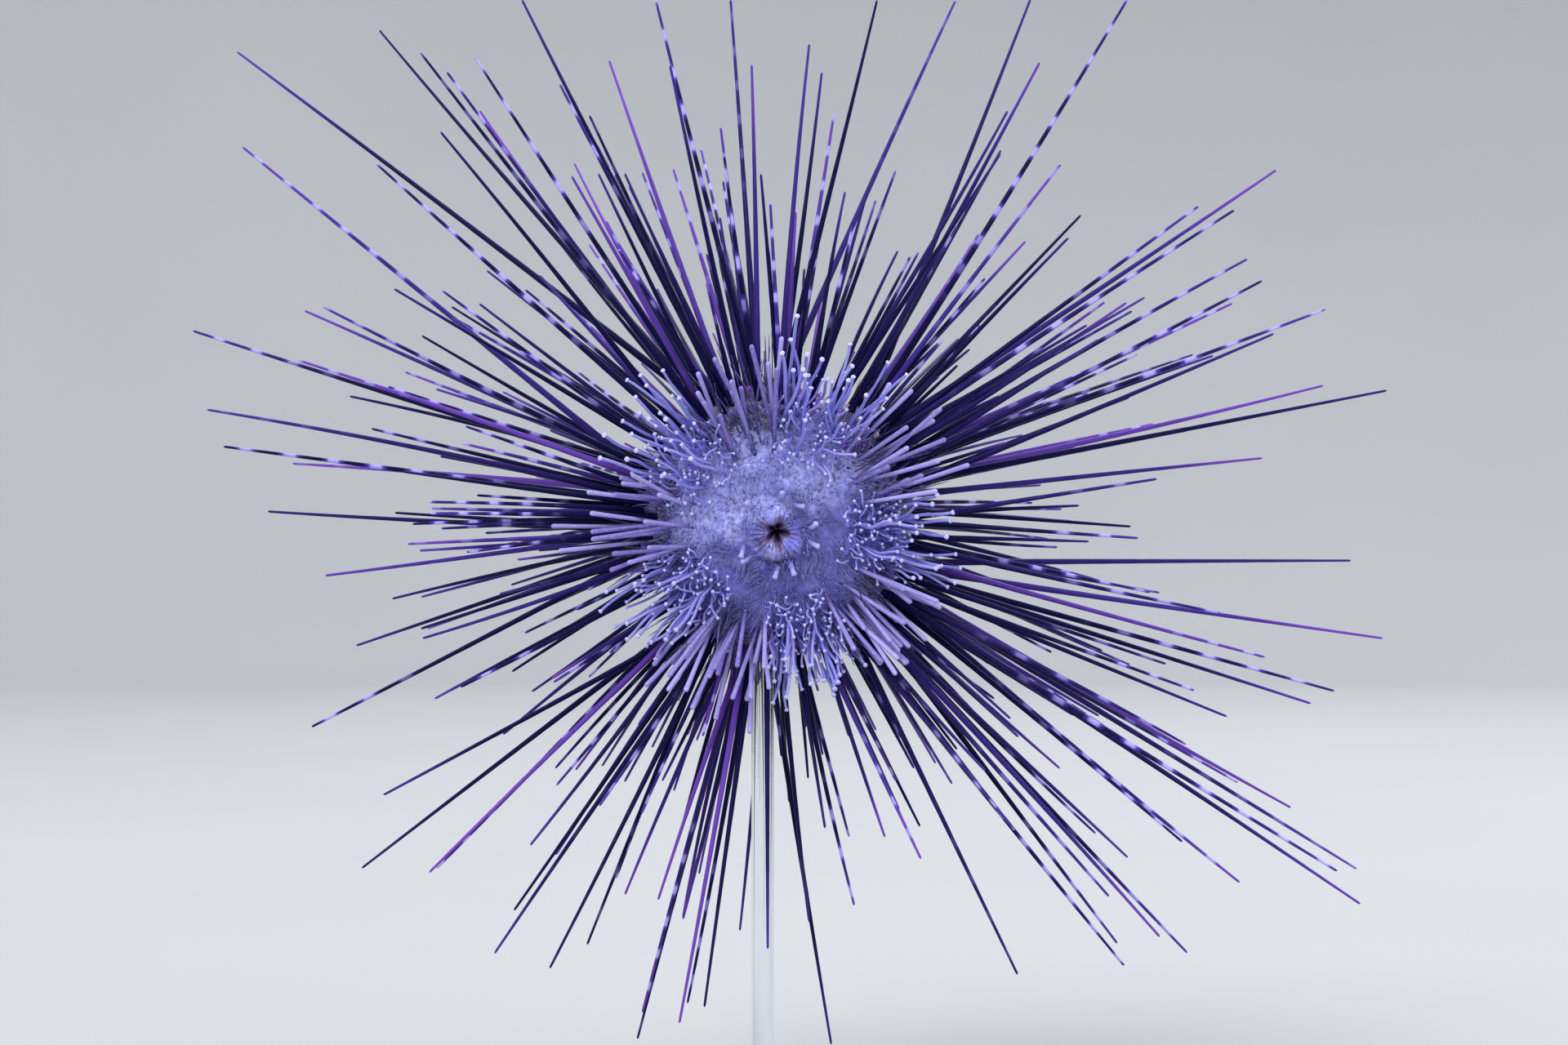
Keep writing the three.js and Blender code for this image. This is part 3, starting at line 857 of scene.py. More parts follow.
@dataclass
class Rings:
    """Closed bodies through rings of points, made into one mesh.

    Attributes:
        name: The piece's name.
        rings: Points by body, ring, side and axis.
        ends: The two end points of each body.
        unwrap: Gives the place on the bake map of shares around and along a numbered body.
        marks: Values to read in the material, by body, by body and ring, or by side too.
    """

    name: str
    rings: Array
    ends: Array
    unwrap: Unwrap
    marks: dict[str, Array] = field(default_factory=dict)

    def build(self) -> bpy.types.Object:
        """Makes the mesh with its bake map and its marks.

        Returns:
            The object.
        """
        count, rings, sides, _ = self.rings.shape
        body = self.rings.reshape(count, rings * sides, 3)
        points = np.concatenate([body, self.ends], axis=1)
        corners, sizes, shares = self.one_body(rings, sides)
        offsets = np.arange(count)[:, None] * points.shape[1]
        thing = make_mesh(
            self.name, points.reshape(-1, 3), (corners + offsets).ravel(), np.tile(sizes, count)
        )
        layer = thing.data.uv_layers.new(name=BAKE_MAP)
        number = np.repeat(np.arange(count), len(corners))
        places = self.unwrap(np.tile(shares[:, 0], count), np.tile(shares[:, 1], count), number)
        layer.uv.foreach_set("vector", places.astype(np.float32).ravel())
        for mark, values in self.marks.items():
            values = np.asarray(values, float)
            values = values.reshape(values.shape + (1,) * (3 - values.ndim))
            flat = np.broadcast_to(values, (count, rings, sides)).reshape(count, -1)
            whole = np.concatenate([flat, flat[:, :1], flat[:, -1:]], axis=1)
            attribute = thing.data.attributes.new(mark, "FLOAT", "POINT")
            attribute.data.foreach_set("value", whole.astype(np.float32).ravel())
        return thing

    @staticmethod
    def one_body(rings: int, sides: int) -> tuple[Array, Array, Array]:
        """Lists the faces of one body.

        Args:
            rings: Number of rings.
            sides: Number of points in a ring.

        Returns:
            The corners, the size of each face, and the shares around and along of each corner.
        """
        ring, side = (part.ravel() for part in np.mgrid[0 : rings - 1, 0:sides])
        after = (side + 1) % sides
        here, above = ring * sides, (ring + 1) * sides
        quads = np.stack([here + side, here + after, above + after, above + side], axis=1)
        quad_u = np.stack([side, side + 1, side + 1, side], axis=1) / sides
        quad_v = np.stack([ring + 1, ring + 1, ring + 2, ring + 2], axis=1) / (rings + 1)
        side = np.arange(sides)
        after = (side + 1) % sides
        root, tip, top = rings * sides, rings * sides + 1, (rings - 1) * sides
        first = np.stack([np.full(sides, root), after, side], axis=1)
        last = np.stack([np.full(sides, tip), top + side, top + after], axis=1)
        first_u = np.stack([side + 0.5, side + 1, side], axis=1) / sides
        last_u = np.stack([side + 0.5, side, side + 1], axis=1) / sides
        low, high = 1 / (rings + 1), rings / (rings + 1)
        first_v = np.tile([0, low, low], (sides, 1))
        last_v = np.tile([1, high, high], (sides, 1))
        corners = np.concatenate([quads.ravel(), first.ravel(), last.ravel()])
        sizes = np.concatenate([np.full(len(quads), 4), np.full(2 * sides, 3)])
        shares_u = np.concatenate([quad_u.ravel(), first_u.ravel(), last_u.ravel()])
        shares_v = np.concatenate([quad_v.ravel(), first_v.ravel(), last_v.ravel()])
        return corners, sizes, np.stack([shares_u, shares_v], axis=1)


def strips(count: int, columns: int) -> Unwrap:
    """Lays out a strip of the bake map for each of many tubes, so that their bands keep their places.

    Args:
        count: Number of tubes.
        columns: Number of strips side by side.

    Returns:
        An unwrap for Rings.
    """
    size = np.array([1 / columns, 1 / math.ceil(count / columns)])
    margin = 0.06

    def unwrap(around_share: Array, along_share: Array, number: Array) -> Array:
        """Places corners in the strips of their tubes.

        Args:
            around_share: Share of the way round the tube.
            along_share: Share of the way along it.
            number: Number of the tube.

        Returns:
            The places on the bake map.
        """
        corner = np.stack([number % columns, number // columns], axis=1)
        inside = np.stack([around_share, along_share], axis=1)
        return (corner + margin + inside * (1 - 2 * margin)) * size

    return unwrap


def root_patches(turns: Array, angles: Array) -> Unwrap:
    """Gives each of many tufts a small patch at its root's place on the round unwrap of the skin.

    Args:
        turns: Turn of each root.
        angles: Angle of each root from the mouth's pole.

    Returns:
        An unwrap for Rings.
    """
    centres = 0.5 + around(BAKE_SPREAD * angles / 180, turns, 0.0)[:, :2]

    def unwrap(around_share: Array, along_share: Array, number: Array) -> Array:
        """Places corners in the patches of their tufts."""
        inside = np.stack([around_share, along_share], axis=1) - 0.5
        return centres[number] + inside * BAKE_PATCH

    return unwrap


STRAIGHT = 0.05
SPARE_WAY = (0.31, 0.52, 0.79)
CAP_RISE = 0.5


def tubes(
    name: str, paths: Array, radii: Array, sides: int, unwrap: Unwrap, marks: dict[str, Array]
) -> bpy.types.Object:
    """Makes one mesh of many tubes.

    Args:
        name: The piece's name.
        paths: Centre points by tube, ring and axis.
        radii: Radius by tube and ring.
        sides: Points in a ring.
        unwrap: Bake map of the tubes.
        marks: Values to read in the material.

    Returns:
        The object.
    """
    along = unit(np.gradient(paths, axis=1))
    across = np.cross(along[:, 0], along[:, -1])
    straight = np.linalg.norm(across, axis=1, keepdims=True) < STRAIGHT
    spare = np.cross(along[:, 0], np.array(SPARE_WAY))
    across = unit(np.where(straight, spare, across))[:, None]
    side = unit(np.cross(across, along))
    up = np.cross(along, side)
    angle = np.arange(sides) * 2 * math.pi / sides
    wheel = side[:, :, None] * np.cos(angle)[:, None] + up[:, :, None] * np.sin(angle)[:, None]
    rings = paths[:, :, None] + wheel * radii[:, :, None, None]
    cap = paths[:, -1] + along[:, -1] * radii[:, -1:] * CAP_RISE
    return Rings(name, rings, np.stack([paths[:, 0], cap], axis=1), unwrap, marks).build()


MIX_SHARE, MIX_FIRST, MIX_SECOND = 0, 6, 7
MIX_RESULT = 2


class Paint:
    """A material's nodes, all added by one method."""

    def __init__(self, name: str) -> None:
        """Starts an empty material.

        Args:
            name: The material's name.
        """
        self.material = bpy.data.materials.new(name)
        self.material.use_nodes = True
        self.tree = self.material.node_tree
        self.tree.nodes.clear()

    def node(self, kind: str, settings: dict[str, object], inputs: dict[str | int, object]) -> bpy.types.Node:
        """Adds a node.

        Args:
            kind: The node's type.
            settings: Its own settings, which are set first.
            inputs: A value, a socket or a Field for each named or numbered socket.

        Returns:
            The node.
        """
        node = self.tree.nodes.new(kind)
        for key, value in settings.items():
            setattr(node, key, value)
        for key, value in inputs.items():
            if isinstance(value, Field):
                value = value.socket
            if isinstance(value, bpy.types.NodeSocket):
                self.tree.links.new(value, node.inputs[key])
            else:
                node.inputs[key].default_value = value
        return node

    def mark(self, name: str) -> Field:
        """Reads a value that the mesh carries."""
        node = self.node("ShaderNodeAttribute", {"attribute_name": name}, {})
        return Field(self, node.outputs["Fac"])

    def noise(self, size: float, detail: float = 2.0) -> Field:
        """Adds a noise over the surface.

        Args:
            size: Size of its lumps in millimetres.
            detail: Number of finer layers.

        Returns:
            A value about 0.5.
        """
        place = self.node("ShaderNodeTexCoord", {}, {}).outputs["Object"]
        inputs = {"Vector": place, "Scale": 1 / (size * METRES), "Detail": detail}
        return Field(self, self.node("ShaderNodeTexNoise", {}, inputs).outputs["Fac"])

    def mix(self, share: Field | float, first: object, second: object) -> bpy.types.NodeSocket:
        """Mixes two colours by a share of the second."""
        inputs = {MIX_SHARE: share, MIX_FIRST: first, MIX_SECOND: second}
        return self.node("ShaderNodeMix", {"data_type": "RGBA"}, inputs).outputs[MIX_RESULT]

    def bump(self, height: Field, depth: float, strength: float = 1.0) -> bpy.types.NodeSocket:
        """Turns a height between 0 and 1 into a bump of a depth in millimetres."""
        inputs = {"Strength": strength, "Distance": depth * METRES, "Height": height}
        return self.node("ShaderNodeBump", {}, inputs).outputs["Normal"]

    def surface(self, inputs: dict[str | int, object]) -> bpy.types.Material:
        """Ends the material with its shader.

        Args:
            inputs: What goes into each socket of the shader.

        Returns:
            The finished material.
        """
        shader = self.node("ShaderNodeBsdfPrincipled", {}, inputs)
        self.node("ShaderNodeOutputMaterial", {}, {"Surface": shader.outputs[0]})
        return self.material


@dataclass(frozen=True)
class Field:
    """A number that varies over a surface, on which the usual operators work."""

    paint: Paint
    socket: bpy.types.NodeSocket

    def reckon(self, operation: str, *values: object) -> Field:
        """Adds a Math node."""
        node = self.paint.node("ShaderNodeMath", {"operation": operation}, dict(enumerate(values)))
        return Field(self.paint, node.outputs[0])

    def __add__(self, other: object) -> Field:
        """Adds."""
        return self.reckon("ADD", self, other)

    __radd__ = __add__

    def __sub__(self, other: object) -> Field:
        """Subtracts."""
        return self.reckon("SUBTRACT", self, other)

    def __rsub__(self, other: object) -> Field:
        """Subtracts from a number."""
        return self.reckon("SUBTRACT", other, self)

    def __mul__(self, other: object) -> Field:
        """Multiplies."""
        return self.reckon("MULTIPLY", self, other)

    __rmul__ = __mul__

    def wave(self, pitch: float, phase: object = 0.0) -> Field:
        """Gives a wave between -1 and 1 that repeats at a pitch, moved on by a share of it."""
        return self.reckon("SINE", (self * (1 / pitch) + phase) * (2 * math.pi))

    def ripple(self, pitch: float) -> Field:
        """Gives a wave between 0 and 1 that repeats at a pitch."""
        return self.wave(pitch) * 0.5 + 0.5

    def rise(self, low: float, high: float) -> Field:
        """Rises softly from 0 to 1 between two values.

        Args:
            low: Where it starts to rise.
            high: Where it is 1.

        Returns:
            The risen value.
        """
        inputs = {0: self, 1: low, 2: high}
        node = self.paint.node("ShaderNodeMapRange", {"interpolation_type": "SMOOTHSTEP"}, inputs)
        return Field(self.paint, node.outputs[0])


@dataclass(frozen=True)
class Flesh:
    """How light sinks into a soft finish, and how wet it looks.

    Attributes:
        depth: How deep the light sinks, in millimetres.
        share: How much of it does.
        reach: How far its red, green and blue go, as shares of the depth.
        coat: Strength of the wet coat.
        coat_roughness: How rough the coat is.
    """

    depth: float
    share: float
    reach: tuple[float, float, float] = (0.4, 0.4, 1.0)
    coat: float = 0.0
    coat_roughness: float = 0.03

    @property
    def inputs(self) -> dict[str | int, object]:
        """What goes into the shader's sockets.

        Returns:
            A value for each socket.
        """
        return {
            "Subsurface Weight": self.share,
            "Subsurface Radius": self.reach,
            "Subsurface Scale": self.depth * METRES,
            "Coat Weight": self.coat,
            "Coat Roughness": self.coat_roughness,
        }


@dataclass(frozen=True)
class Grain:
    """How rough a finish is, how deep its bump in millimetres, and how much of that its rings take."""

    least: float
    more: float
    depth: float
    strength: float
    rings: float = 0.0

    def roughness(self, grain: Field) -> Field:
        """Gives the roughness over the surface."""
        return self.least + grain * self.more

    def normal(self, paint: Paint, grain: Field, rings: Field) -> bpy.types.NodeSocket:
        """Gives the bump of rings and grain together."""
        return paint.bump(rings * self.rings + grain * (1 - self.rings), self.depth, self.strength)


@dataclass(frozen=True)
class SpineFinish:
    """The long spines: navy through violet to purple, ringed finely, many with pale bands."""

    dark: Colour = (0.003, 0.0025, 0.03, 1)
    violet: Colour = (0.06, 0.03, 0.27, 1)
    purple: Colour = (0.17, 0.06, 0.44, 1)
    root: Colour = (0.0015, 0.0012, 0.014, 1)
    halo: Colour = (0.10, 0.06, 0.50, 1)
    band: Colour = (0.50, 0.44, 0.98, 1)
    gloss: Colour = (0.25, 0.22, 0.9, 1)
    ring_pitch: float = 0.56
    ring_share: float = 0.25
    mottle_size: float = 3.0
    mottle_tone: float = 0.2
    mottle_bands: float = 0.5
    tip_tone: float = 0.12
    violet_tones: Ends = (0.0, 0.95)
    purple_tones: Ends = (0.65, 1.2)
    root_shares: Ends = (0.8, 1.0)
    root_strength: float = 0.7
    halo_waves: Ends = (-0.5, 0.7)
    halo_strength: float = 0.8
    band_waves: Ends = (0.4, 0.95)
    shine: float = 0.3
    grain: Grain = Grain(0.34, 0.12, 0.05, 0.5, 0.8)

    def material(self) -> bpy.types.Material:
        """Makes the material.

        Returns:
            The material.
        """
        paint = Paint("spine_finish")
        share, banding = paint.mark("share"), paint.mark("banding")
        mottle = paint.noise(self.mottle_size)
        rings = paint.mark("along").ripple(self.ring_pitch)
        tone = paint.mark("tone") + (mottle - 0.5) * self.mottle_tone + share * self.tip_tone
        wave = paint.mark("beat").wave(1.0) + (mottle - 0.5) * self.mottle_bands
        halo = wave.rise(*self.halo_waves) * banding * self.halo_strength
        band = wave.rise(*self.band_waves) * banding * ((1 - self.ring_share) + rings * self.ring_share)
        colour = paint.mix(tone.rise(*self.violet_tones), self.dark, self.violet)
        colour = paint.mix(tone.rise(*self.purple_tones), colour, self.purple)
        colour = paint.mix((1 - share).rise(*self.root_shares) * self.root_strength, colour, self.root)
        colour = paint.mix(halo, colour, self.halo)
        colour = paint.mix(band, colour, self.band)
        return paint.surface({
            "Base Color": colour,
            "Roughness": self.grain.roughness(mottle),
            "Normal": self.grain.normal(paint, mottle, rings),
            "Specular IOR Level": self.shine,
            "Specular Tint": self.gloss,
        })


@dataclass(frozen=True)
class ShortSpineFinish:
    """The short blunt spines: pale lavender, darker to the root, mottled and ringed."""

    pale: Colour = (0.42, 0.38, 0.80, 1)
    mauve: Colour = (0.20, 0.15, 0.50, 1)
    root: Colour = (0.05, 0.04, 0.22, 1)
    fleck: Colour = (0.62, 0.58, 0.92, 1)
    fleck_size: float = 0.6
    fleck_tones: Ends = (0.45, 0.75)
    fleck_strength: float = 0.3
    root_shares: Ends = (0.55, 1.05)
    ring_pitch: float = 0.7
    grain: Grain = Grain(0.42, 0.15, 0.05, 0.5, 0.6)
    flesh: Flesh = Flesh(0.8, 0.2)

    def material(self) -> bpy.types.Material:
        """Makes the material.

        Returns:
            The material.
        """
        paint = Paint("short_spine_finish")
        grain = paint.noise(self.fleck_size)
        colour = paint.mix(paint.mark("tone"), self.pale, self.mauve)
        colour = paint.mix((1 - paint.mark("share")).rise(*self.root_shares), colour, self.root)
        colour = paint.mix(grain.rise(*self.fleck_tones) * self.fleck_strength, colour, self.fleck)
        rings = paint.mark("along").ripple(self.ring_pitch)
        return paint.surface({
            "Base Color": colour,
            "Roughness": self.grain.roughness(grain),
            "Normal": self.grain.normal(paint, grain, rings),
            **self.flesh.inputs,
        })


@dataclass(frozen=True)
class FootFinish:
    """The tube feet: soft blue-violet stems, wet and translucent, with pale discs."""

    stem: Colour = (0.19, 0.19, 0.70, 1)
    pale_stem: Colour = (0.46, 0.45, 0.90, 1)
    disc: Colour = (0.56, 0.56, 0.98, 1)
    fold_pitch: float = 0.32
    fold_strength: float = 0.12
    cloud_size: float = 0.8
    cloud_share: float = 0.3
    grain: Grain = Grain(0.3, 0.1, 0.04, 0.4)
    flesh: Flesh = Flesh(1.0, 0.45, (0.4, 0.45, 1.0), 0.25, 0.15)

    def material(self) -> bpy.types.Material:
        """Makes the material.

        Returns:
            The material.
        """
        paint = Paint("foot_finish")
        folds = paint.mark("along").ripple(self.fold_pitch)
        cloud = paint.noise(self.cloud_size)
        stems = paint.mark("tone") * (1 - self.cloud_share) + cloud * self.cloud_share
        colour = paint.mix(stems, self.stem, self.pale_stem)
        colour = paint.mix(folds * self.fold_strength, colour, self.disc)
        colour = paint.mix(paint.mark("disc"), colour, self.disc)
        return paint.surface({
            "Base Color": colour,
            "Roughness": self.grain.roughness(cloud),
            "Normal": paint.bump(folds, self.grain.depth, self.grain.strength),
            **self.flesh.inputs,
        })


@dataclass(frozen=True)
class SkinFinish:
    """The skin: pale lavender round the mouth, nearly black beyond, dark red-brown in the mouth, with painted
    light from above on the pale skin and painted shade in the mouth's pit and under its lower fold.
    """

    pale: Colour = (0.19, 0.20, 0.66, 1)
    bright: Colour = (0.52, 0.55, 1.0, 1)
    grey: Colour = (0.085, 0.083, 0.30, 1)
    dark: Colour = (0.010, 0.008, 0.042, 1)
    plum: Colour = (0.045, 0.018, 0.10, 1)
    brown: Colour = (0.085, 0.03, 0.075, 1)
    black: Colour = (0.006, 0.005, 0.02, 1)
    broad_size: float = 5.0
    fine_size: float = 0.9
    layers: float = 3.0
    speck_size: float = 0.55
    speck_layers: float = 1.0
    pale_clouds: Ends = (0.38, 0.66)
    bright_clouds: Ends = (0.3, 0.65)
    speck_tones: Ends = (0.64, 0.74)
    speck_strength: float = 0.5
    plum_clouds: Ends = (0.45, 0.7)
    boss_strength: float = 0.5
    grain: Grain = Grain(0.38, 0.25, 0.22, 0.7, 0.6)
    flesh: Flesh = Flesh(1.5, 0.15, (0.5, 0.45, 1.0), 0.2, 0.25)

    def material(self) -> bpy.types.Material:
        """Makes the material.

        Returns:
            The material.
        """
        paint = Paint("skin_finish")
        broad, fine = paint.noise(self.broad_size, self.layers), paint.noise(self.fine_size, self.layers)
        specks = paint.noise(self.speck_size, self.speck_layers)
        soft = paint.mix(broad.rise(*self.pale_clouds), self.grey, self.pale)
        # Painted light: the pale skin is lighter where the painted light from above falls.
        soft = paint.mix(paint.mark("bright") * fine.rise(*self.bright_clouds), soft, self.bright)
        soft = paint.mix(specks.rise(*self.speck_tones) * self.speck_strength, soft, self.plum)
        deep = paint.mix(broad.rise(*self.plum_clouds), self.dark, self.plum)
        deep = paint.mix(paint.mark("boss") * self.boss_strength, deep, self.grey)
        colour = paint.mix(paint.mark("pale"), deep, soft)
        # The brown here is the mouth's and the cone's real stains, with painted shade under the mouth's lower
        # fold.
        colour = paint.mix(paint.mark("stain"), colour, self.brown)
        # Painted shade: black in the mouth's pit.
        colour = paint.mix(paint.mark("gape"), colour, self.black)
        return paint.surface({
            "Base Color": colour,
            "Roughness": self.grain.roughness(fine),
            "Normal": self.grain.normal(paint, specks, fine),
            **self.flesh.inputs,
        })


@dataclass(frozen=True)
class FuzzFinish:
    """Papillae, fine spines and stout feet, each toned from one colour to another by its own draw; the tone
    of hairs and papillae also follows the painted light on the pale skin.

    Attributes:
        name: The material's name.
        low: Colour of tone 0.
        high: Colour of tone 1.
        glow: How much light it gives of its own, a painted glint for the iridescent dots.
        fleck: Colour of its pale grain.
    """

    name: str
    low: Colour
    high: Colour
    glow: float = 0.0
    fleck: Colour = (0.56, 0.57, 1.0, 1)
    fleck_size: float = 0.5
    fleck_tones: Ends = (0.4, 0.8)
    fleck_strength: float = 0.3
    grain: Grain = Grain(0.35, 0.2, 0.05, 0.5)
    flesh: Flesh = Flesh(0.6, 0.15)

    def material(self) -> bpy.types.Material:
        """Makes the material.

        Returns:
            The material.
        """
        paint = Paint(self.name)
        grain = paint.noise(self.fleck_size)
        colour = paint.mix(paint.mark("tone"), self.low, self.high)
        flecks = grain.rise(*self.fleck_tones) * self.fleck_strength
        return paint.surface({
            "Base Color": paint.mix(flecks, colour, self.fleck),
            "Roughness": self.grain.roughness(grain),
            "Normal": paint.bump(grain, self.grain.depth, self.grain.strength),
            # Painted glint: the iridescent dots give light of their own colour, though they are no lamp.
            "Emission Color": colour,
            "Emission Strength": self.glow,
            **self.flesh.inputs,
        })


@dataclass(frozen=True)
class StandFinish:
    """The stand: a satin black base and a clear polished rod."""

    black: Colour = (0.012, 0.012, 0.013, 1)
    worn: Colour = (0.03, 0.03, 0.032, 1)
    clear: Colour = (0.93, 0.96, 0.97, 1)
    grain_size: float = 0.7
    grain_layers: float = 4.0
    grain: Grain = Grain(0.36, 0.1, 0.03, 0.35)
    wear_size: float = 30.0
    wear_tones: Ends = (0.4, 0.7)
    wear_strength: float = 0.5
    wear_roughness: float = 0.06
    haze_size: float = 4.0
    polish: Ends = (0.03, 0.07)
    bending: float = 1.49
    clearness: float = 0.92

    def base(self) -> bpy.types.Material:
        """Makes the base's material.

        Returns:
            The material.
        """
        paint = Paint("stand_base_finish")
        grain, wear = paint.noise(self.grain_size, self.grain_layers), paint.noise(self.wear_size)
        worn = wear.rise(*self.wear_tones) * self.wear_strength
        return paint.surface({
            "Base Color": paint.mix(worn, self.black, self.worn),
            "Roughness": self.grain.roughness(grain) + wear * self.wear_roughness,
            "Normal": paint.bump(grain, self.grain.depth, self.grain.strength),
        })

    def rod(self) -> bpy.types.Material:
        """Makes the rod's material.

        Returns:
            The material.
        """
        paint = Paint("stand_rod_finish")
        return paint.surface({
            "Base Color": self.clear,
            "Roughness": between(self.polish, paint.noise(self.haze_size)),
            "IOR": self.bending,
            "Transmission Weight": self.clearness,
        })


@dataclass(frozen=True)
class StudioFinish:
    """The pale floor and backdrop."""

    pale: Colour = (0.48, 0.49, 0.51, 1)
    paler: Colour = (0.52, 0.53, 0.545, 1)
    cloud_size: float = 300.0
    matt: Ends = (0.85, 0.95)

    def material(self) -> bpy.types.Material:
        """Makes the material.

        Returns:
            The material.
        """
        paint = Paint("studio_finish")
        cloud = paint.noise(self.cloud_size)
        colour = paint.mix(cloud, self.pale, self.paler)
        return paint.surface({"Base Color": colour, "Roughness": between(self.matt, cloud)})


def fit(thing: bpy.types.Object, material: bpy.types.Material, slot: Slot, *nodes: str) -> None:
    """Finishes a piece and fixes it to the frame.

    Args:
        thing: The piece.
        material: Its material.
        slot: The record's slot that its finish goes by; not used.
        nodes: The solids that it stands for.
    """
    thing.data.materials.append(material)
    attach(thing, BODY)
    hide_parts(*nodes)
    thing.data.calc_loop_triangles()
    log.info("%s: %d triangles", thing.name, len(thing.data.loop_triangles))


def fields_of(kind: str) -> list[str]:
    """Lists the five nodes of one kind of field."""
    return [f"{kind}_{number + 1}" for number in range(FIELDS)]


@dataclass(frozen=True)
class PaintedTopLight:
    """Painted light on the pale skin: brighter towards the top and to the left, as light from above falls,
    with a painted highlight just above the mouth, in millimetres.
    """

    frill: Ends = (-0.5, 1.8)
    frill_reach: Ends = (4.5, 2.6)
    frill_gain: float = 16.0
    rightward: float = 0.35
    clouds: Lumps = Lumps(10, 4.5)
    heights: Ends = (-11, 12)

    def at(self, points: Array) -> Array:
        """Says how much painted light falls on the skin.

        Args:
            points: Places in the animal's frame.

        Returns:
            The painted light, between 0 and 1, at each place.
        """
        right, up = points[..., 0], points[..., 1]
        aside = ((right - self.frill[0]) / self.frill_reach[0]) ** 2
        above = ((up - self.frill[1]) / self.frill_reach[1]) ** 2
        frill = np.exp(-aside - above)
        # Painted light: the pale skin is painted lighter upwards and to the left, where light from above
        # falls, and lightest in a painted highlight just above the mouth.
        height = up - self.rightward * right + self.clouds.over(points) + self.frill_gain * frill
        return smooth(height, *self.heights)


PAINTED_TOP_LIGHT = PaintedTopLight()


def bell(place: Array, middle: float | Array, width: float) -> Array:
    """Gives a smooth hill of height one over a place."""
    return np.exp(-(((place - middle) / width) ** 2))


@dataclass(frozen=True)
class MouthForm:
    """The folds, the lip, the stains and the painted shade of the mouth, in millimetres from its axis."""

    star_at: Row = (0.5, 1.3, 1.9, 3.0, 4.4, 6)
    star: Row = (0, 0.3, 0.22, 0.1, 0.04, 0)
    reach: float = 30.0
    lip: Ends = (4.4, 1.6)
    creases: int = 26
    crease_wander: Lumps = Lumps(2.0, 3.0)
    crease_tall: float = 0.22
    lip_lumps: Lumps = Lumps(0.35, 2.0)
    fold: Ends = (5.6, 1.7)
    fold_wander: Lumps = Lumps(0.9, 4.0)
    fold_tall: float = 1.3
    fold_lumps: Lumps = Lumps(0.5, 2.4)
    low_side: Ends = (0.35, 1.2)
    star_pull: float = 0.22
    crease_pull: float = 0.3
    ragged: Lumps = Lumps(0.5, 1.2)
    # Painted shade: the pit of the mouth is painted black.
    gape: Ends = (0.9, 2.2)
    stain: Ends = (1.9, 3.9)
    stain_strength: float = 0.8
    # Painted shade: a brown shadow band under the mouth's lower fold, darker in its creases.
    chin: Ends = (6.2, 1.1)
    chin_wander: Lumps = Lumps(1.0, 2.5)
    chin_strength: float = 0.55
    chin_creases: float = 0.4


@dataclass(frozen=True)
class Ground:
    """The skin's points before it swells, by ring and column, and where its narrow fields are."""

    turn: Array
    radius: Array
    angle: Array
    base: Array
    star: Array
    narrow: Array


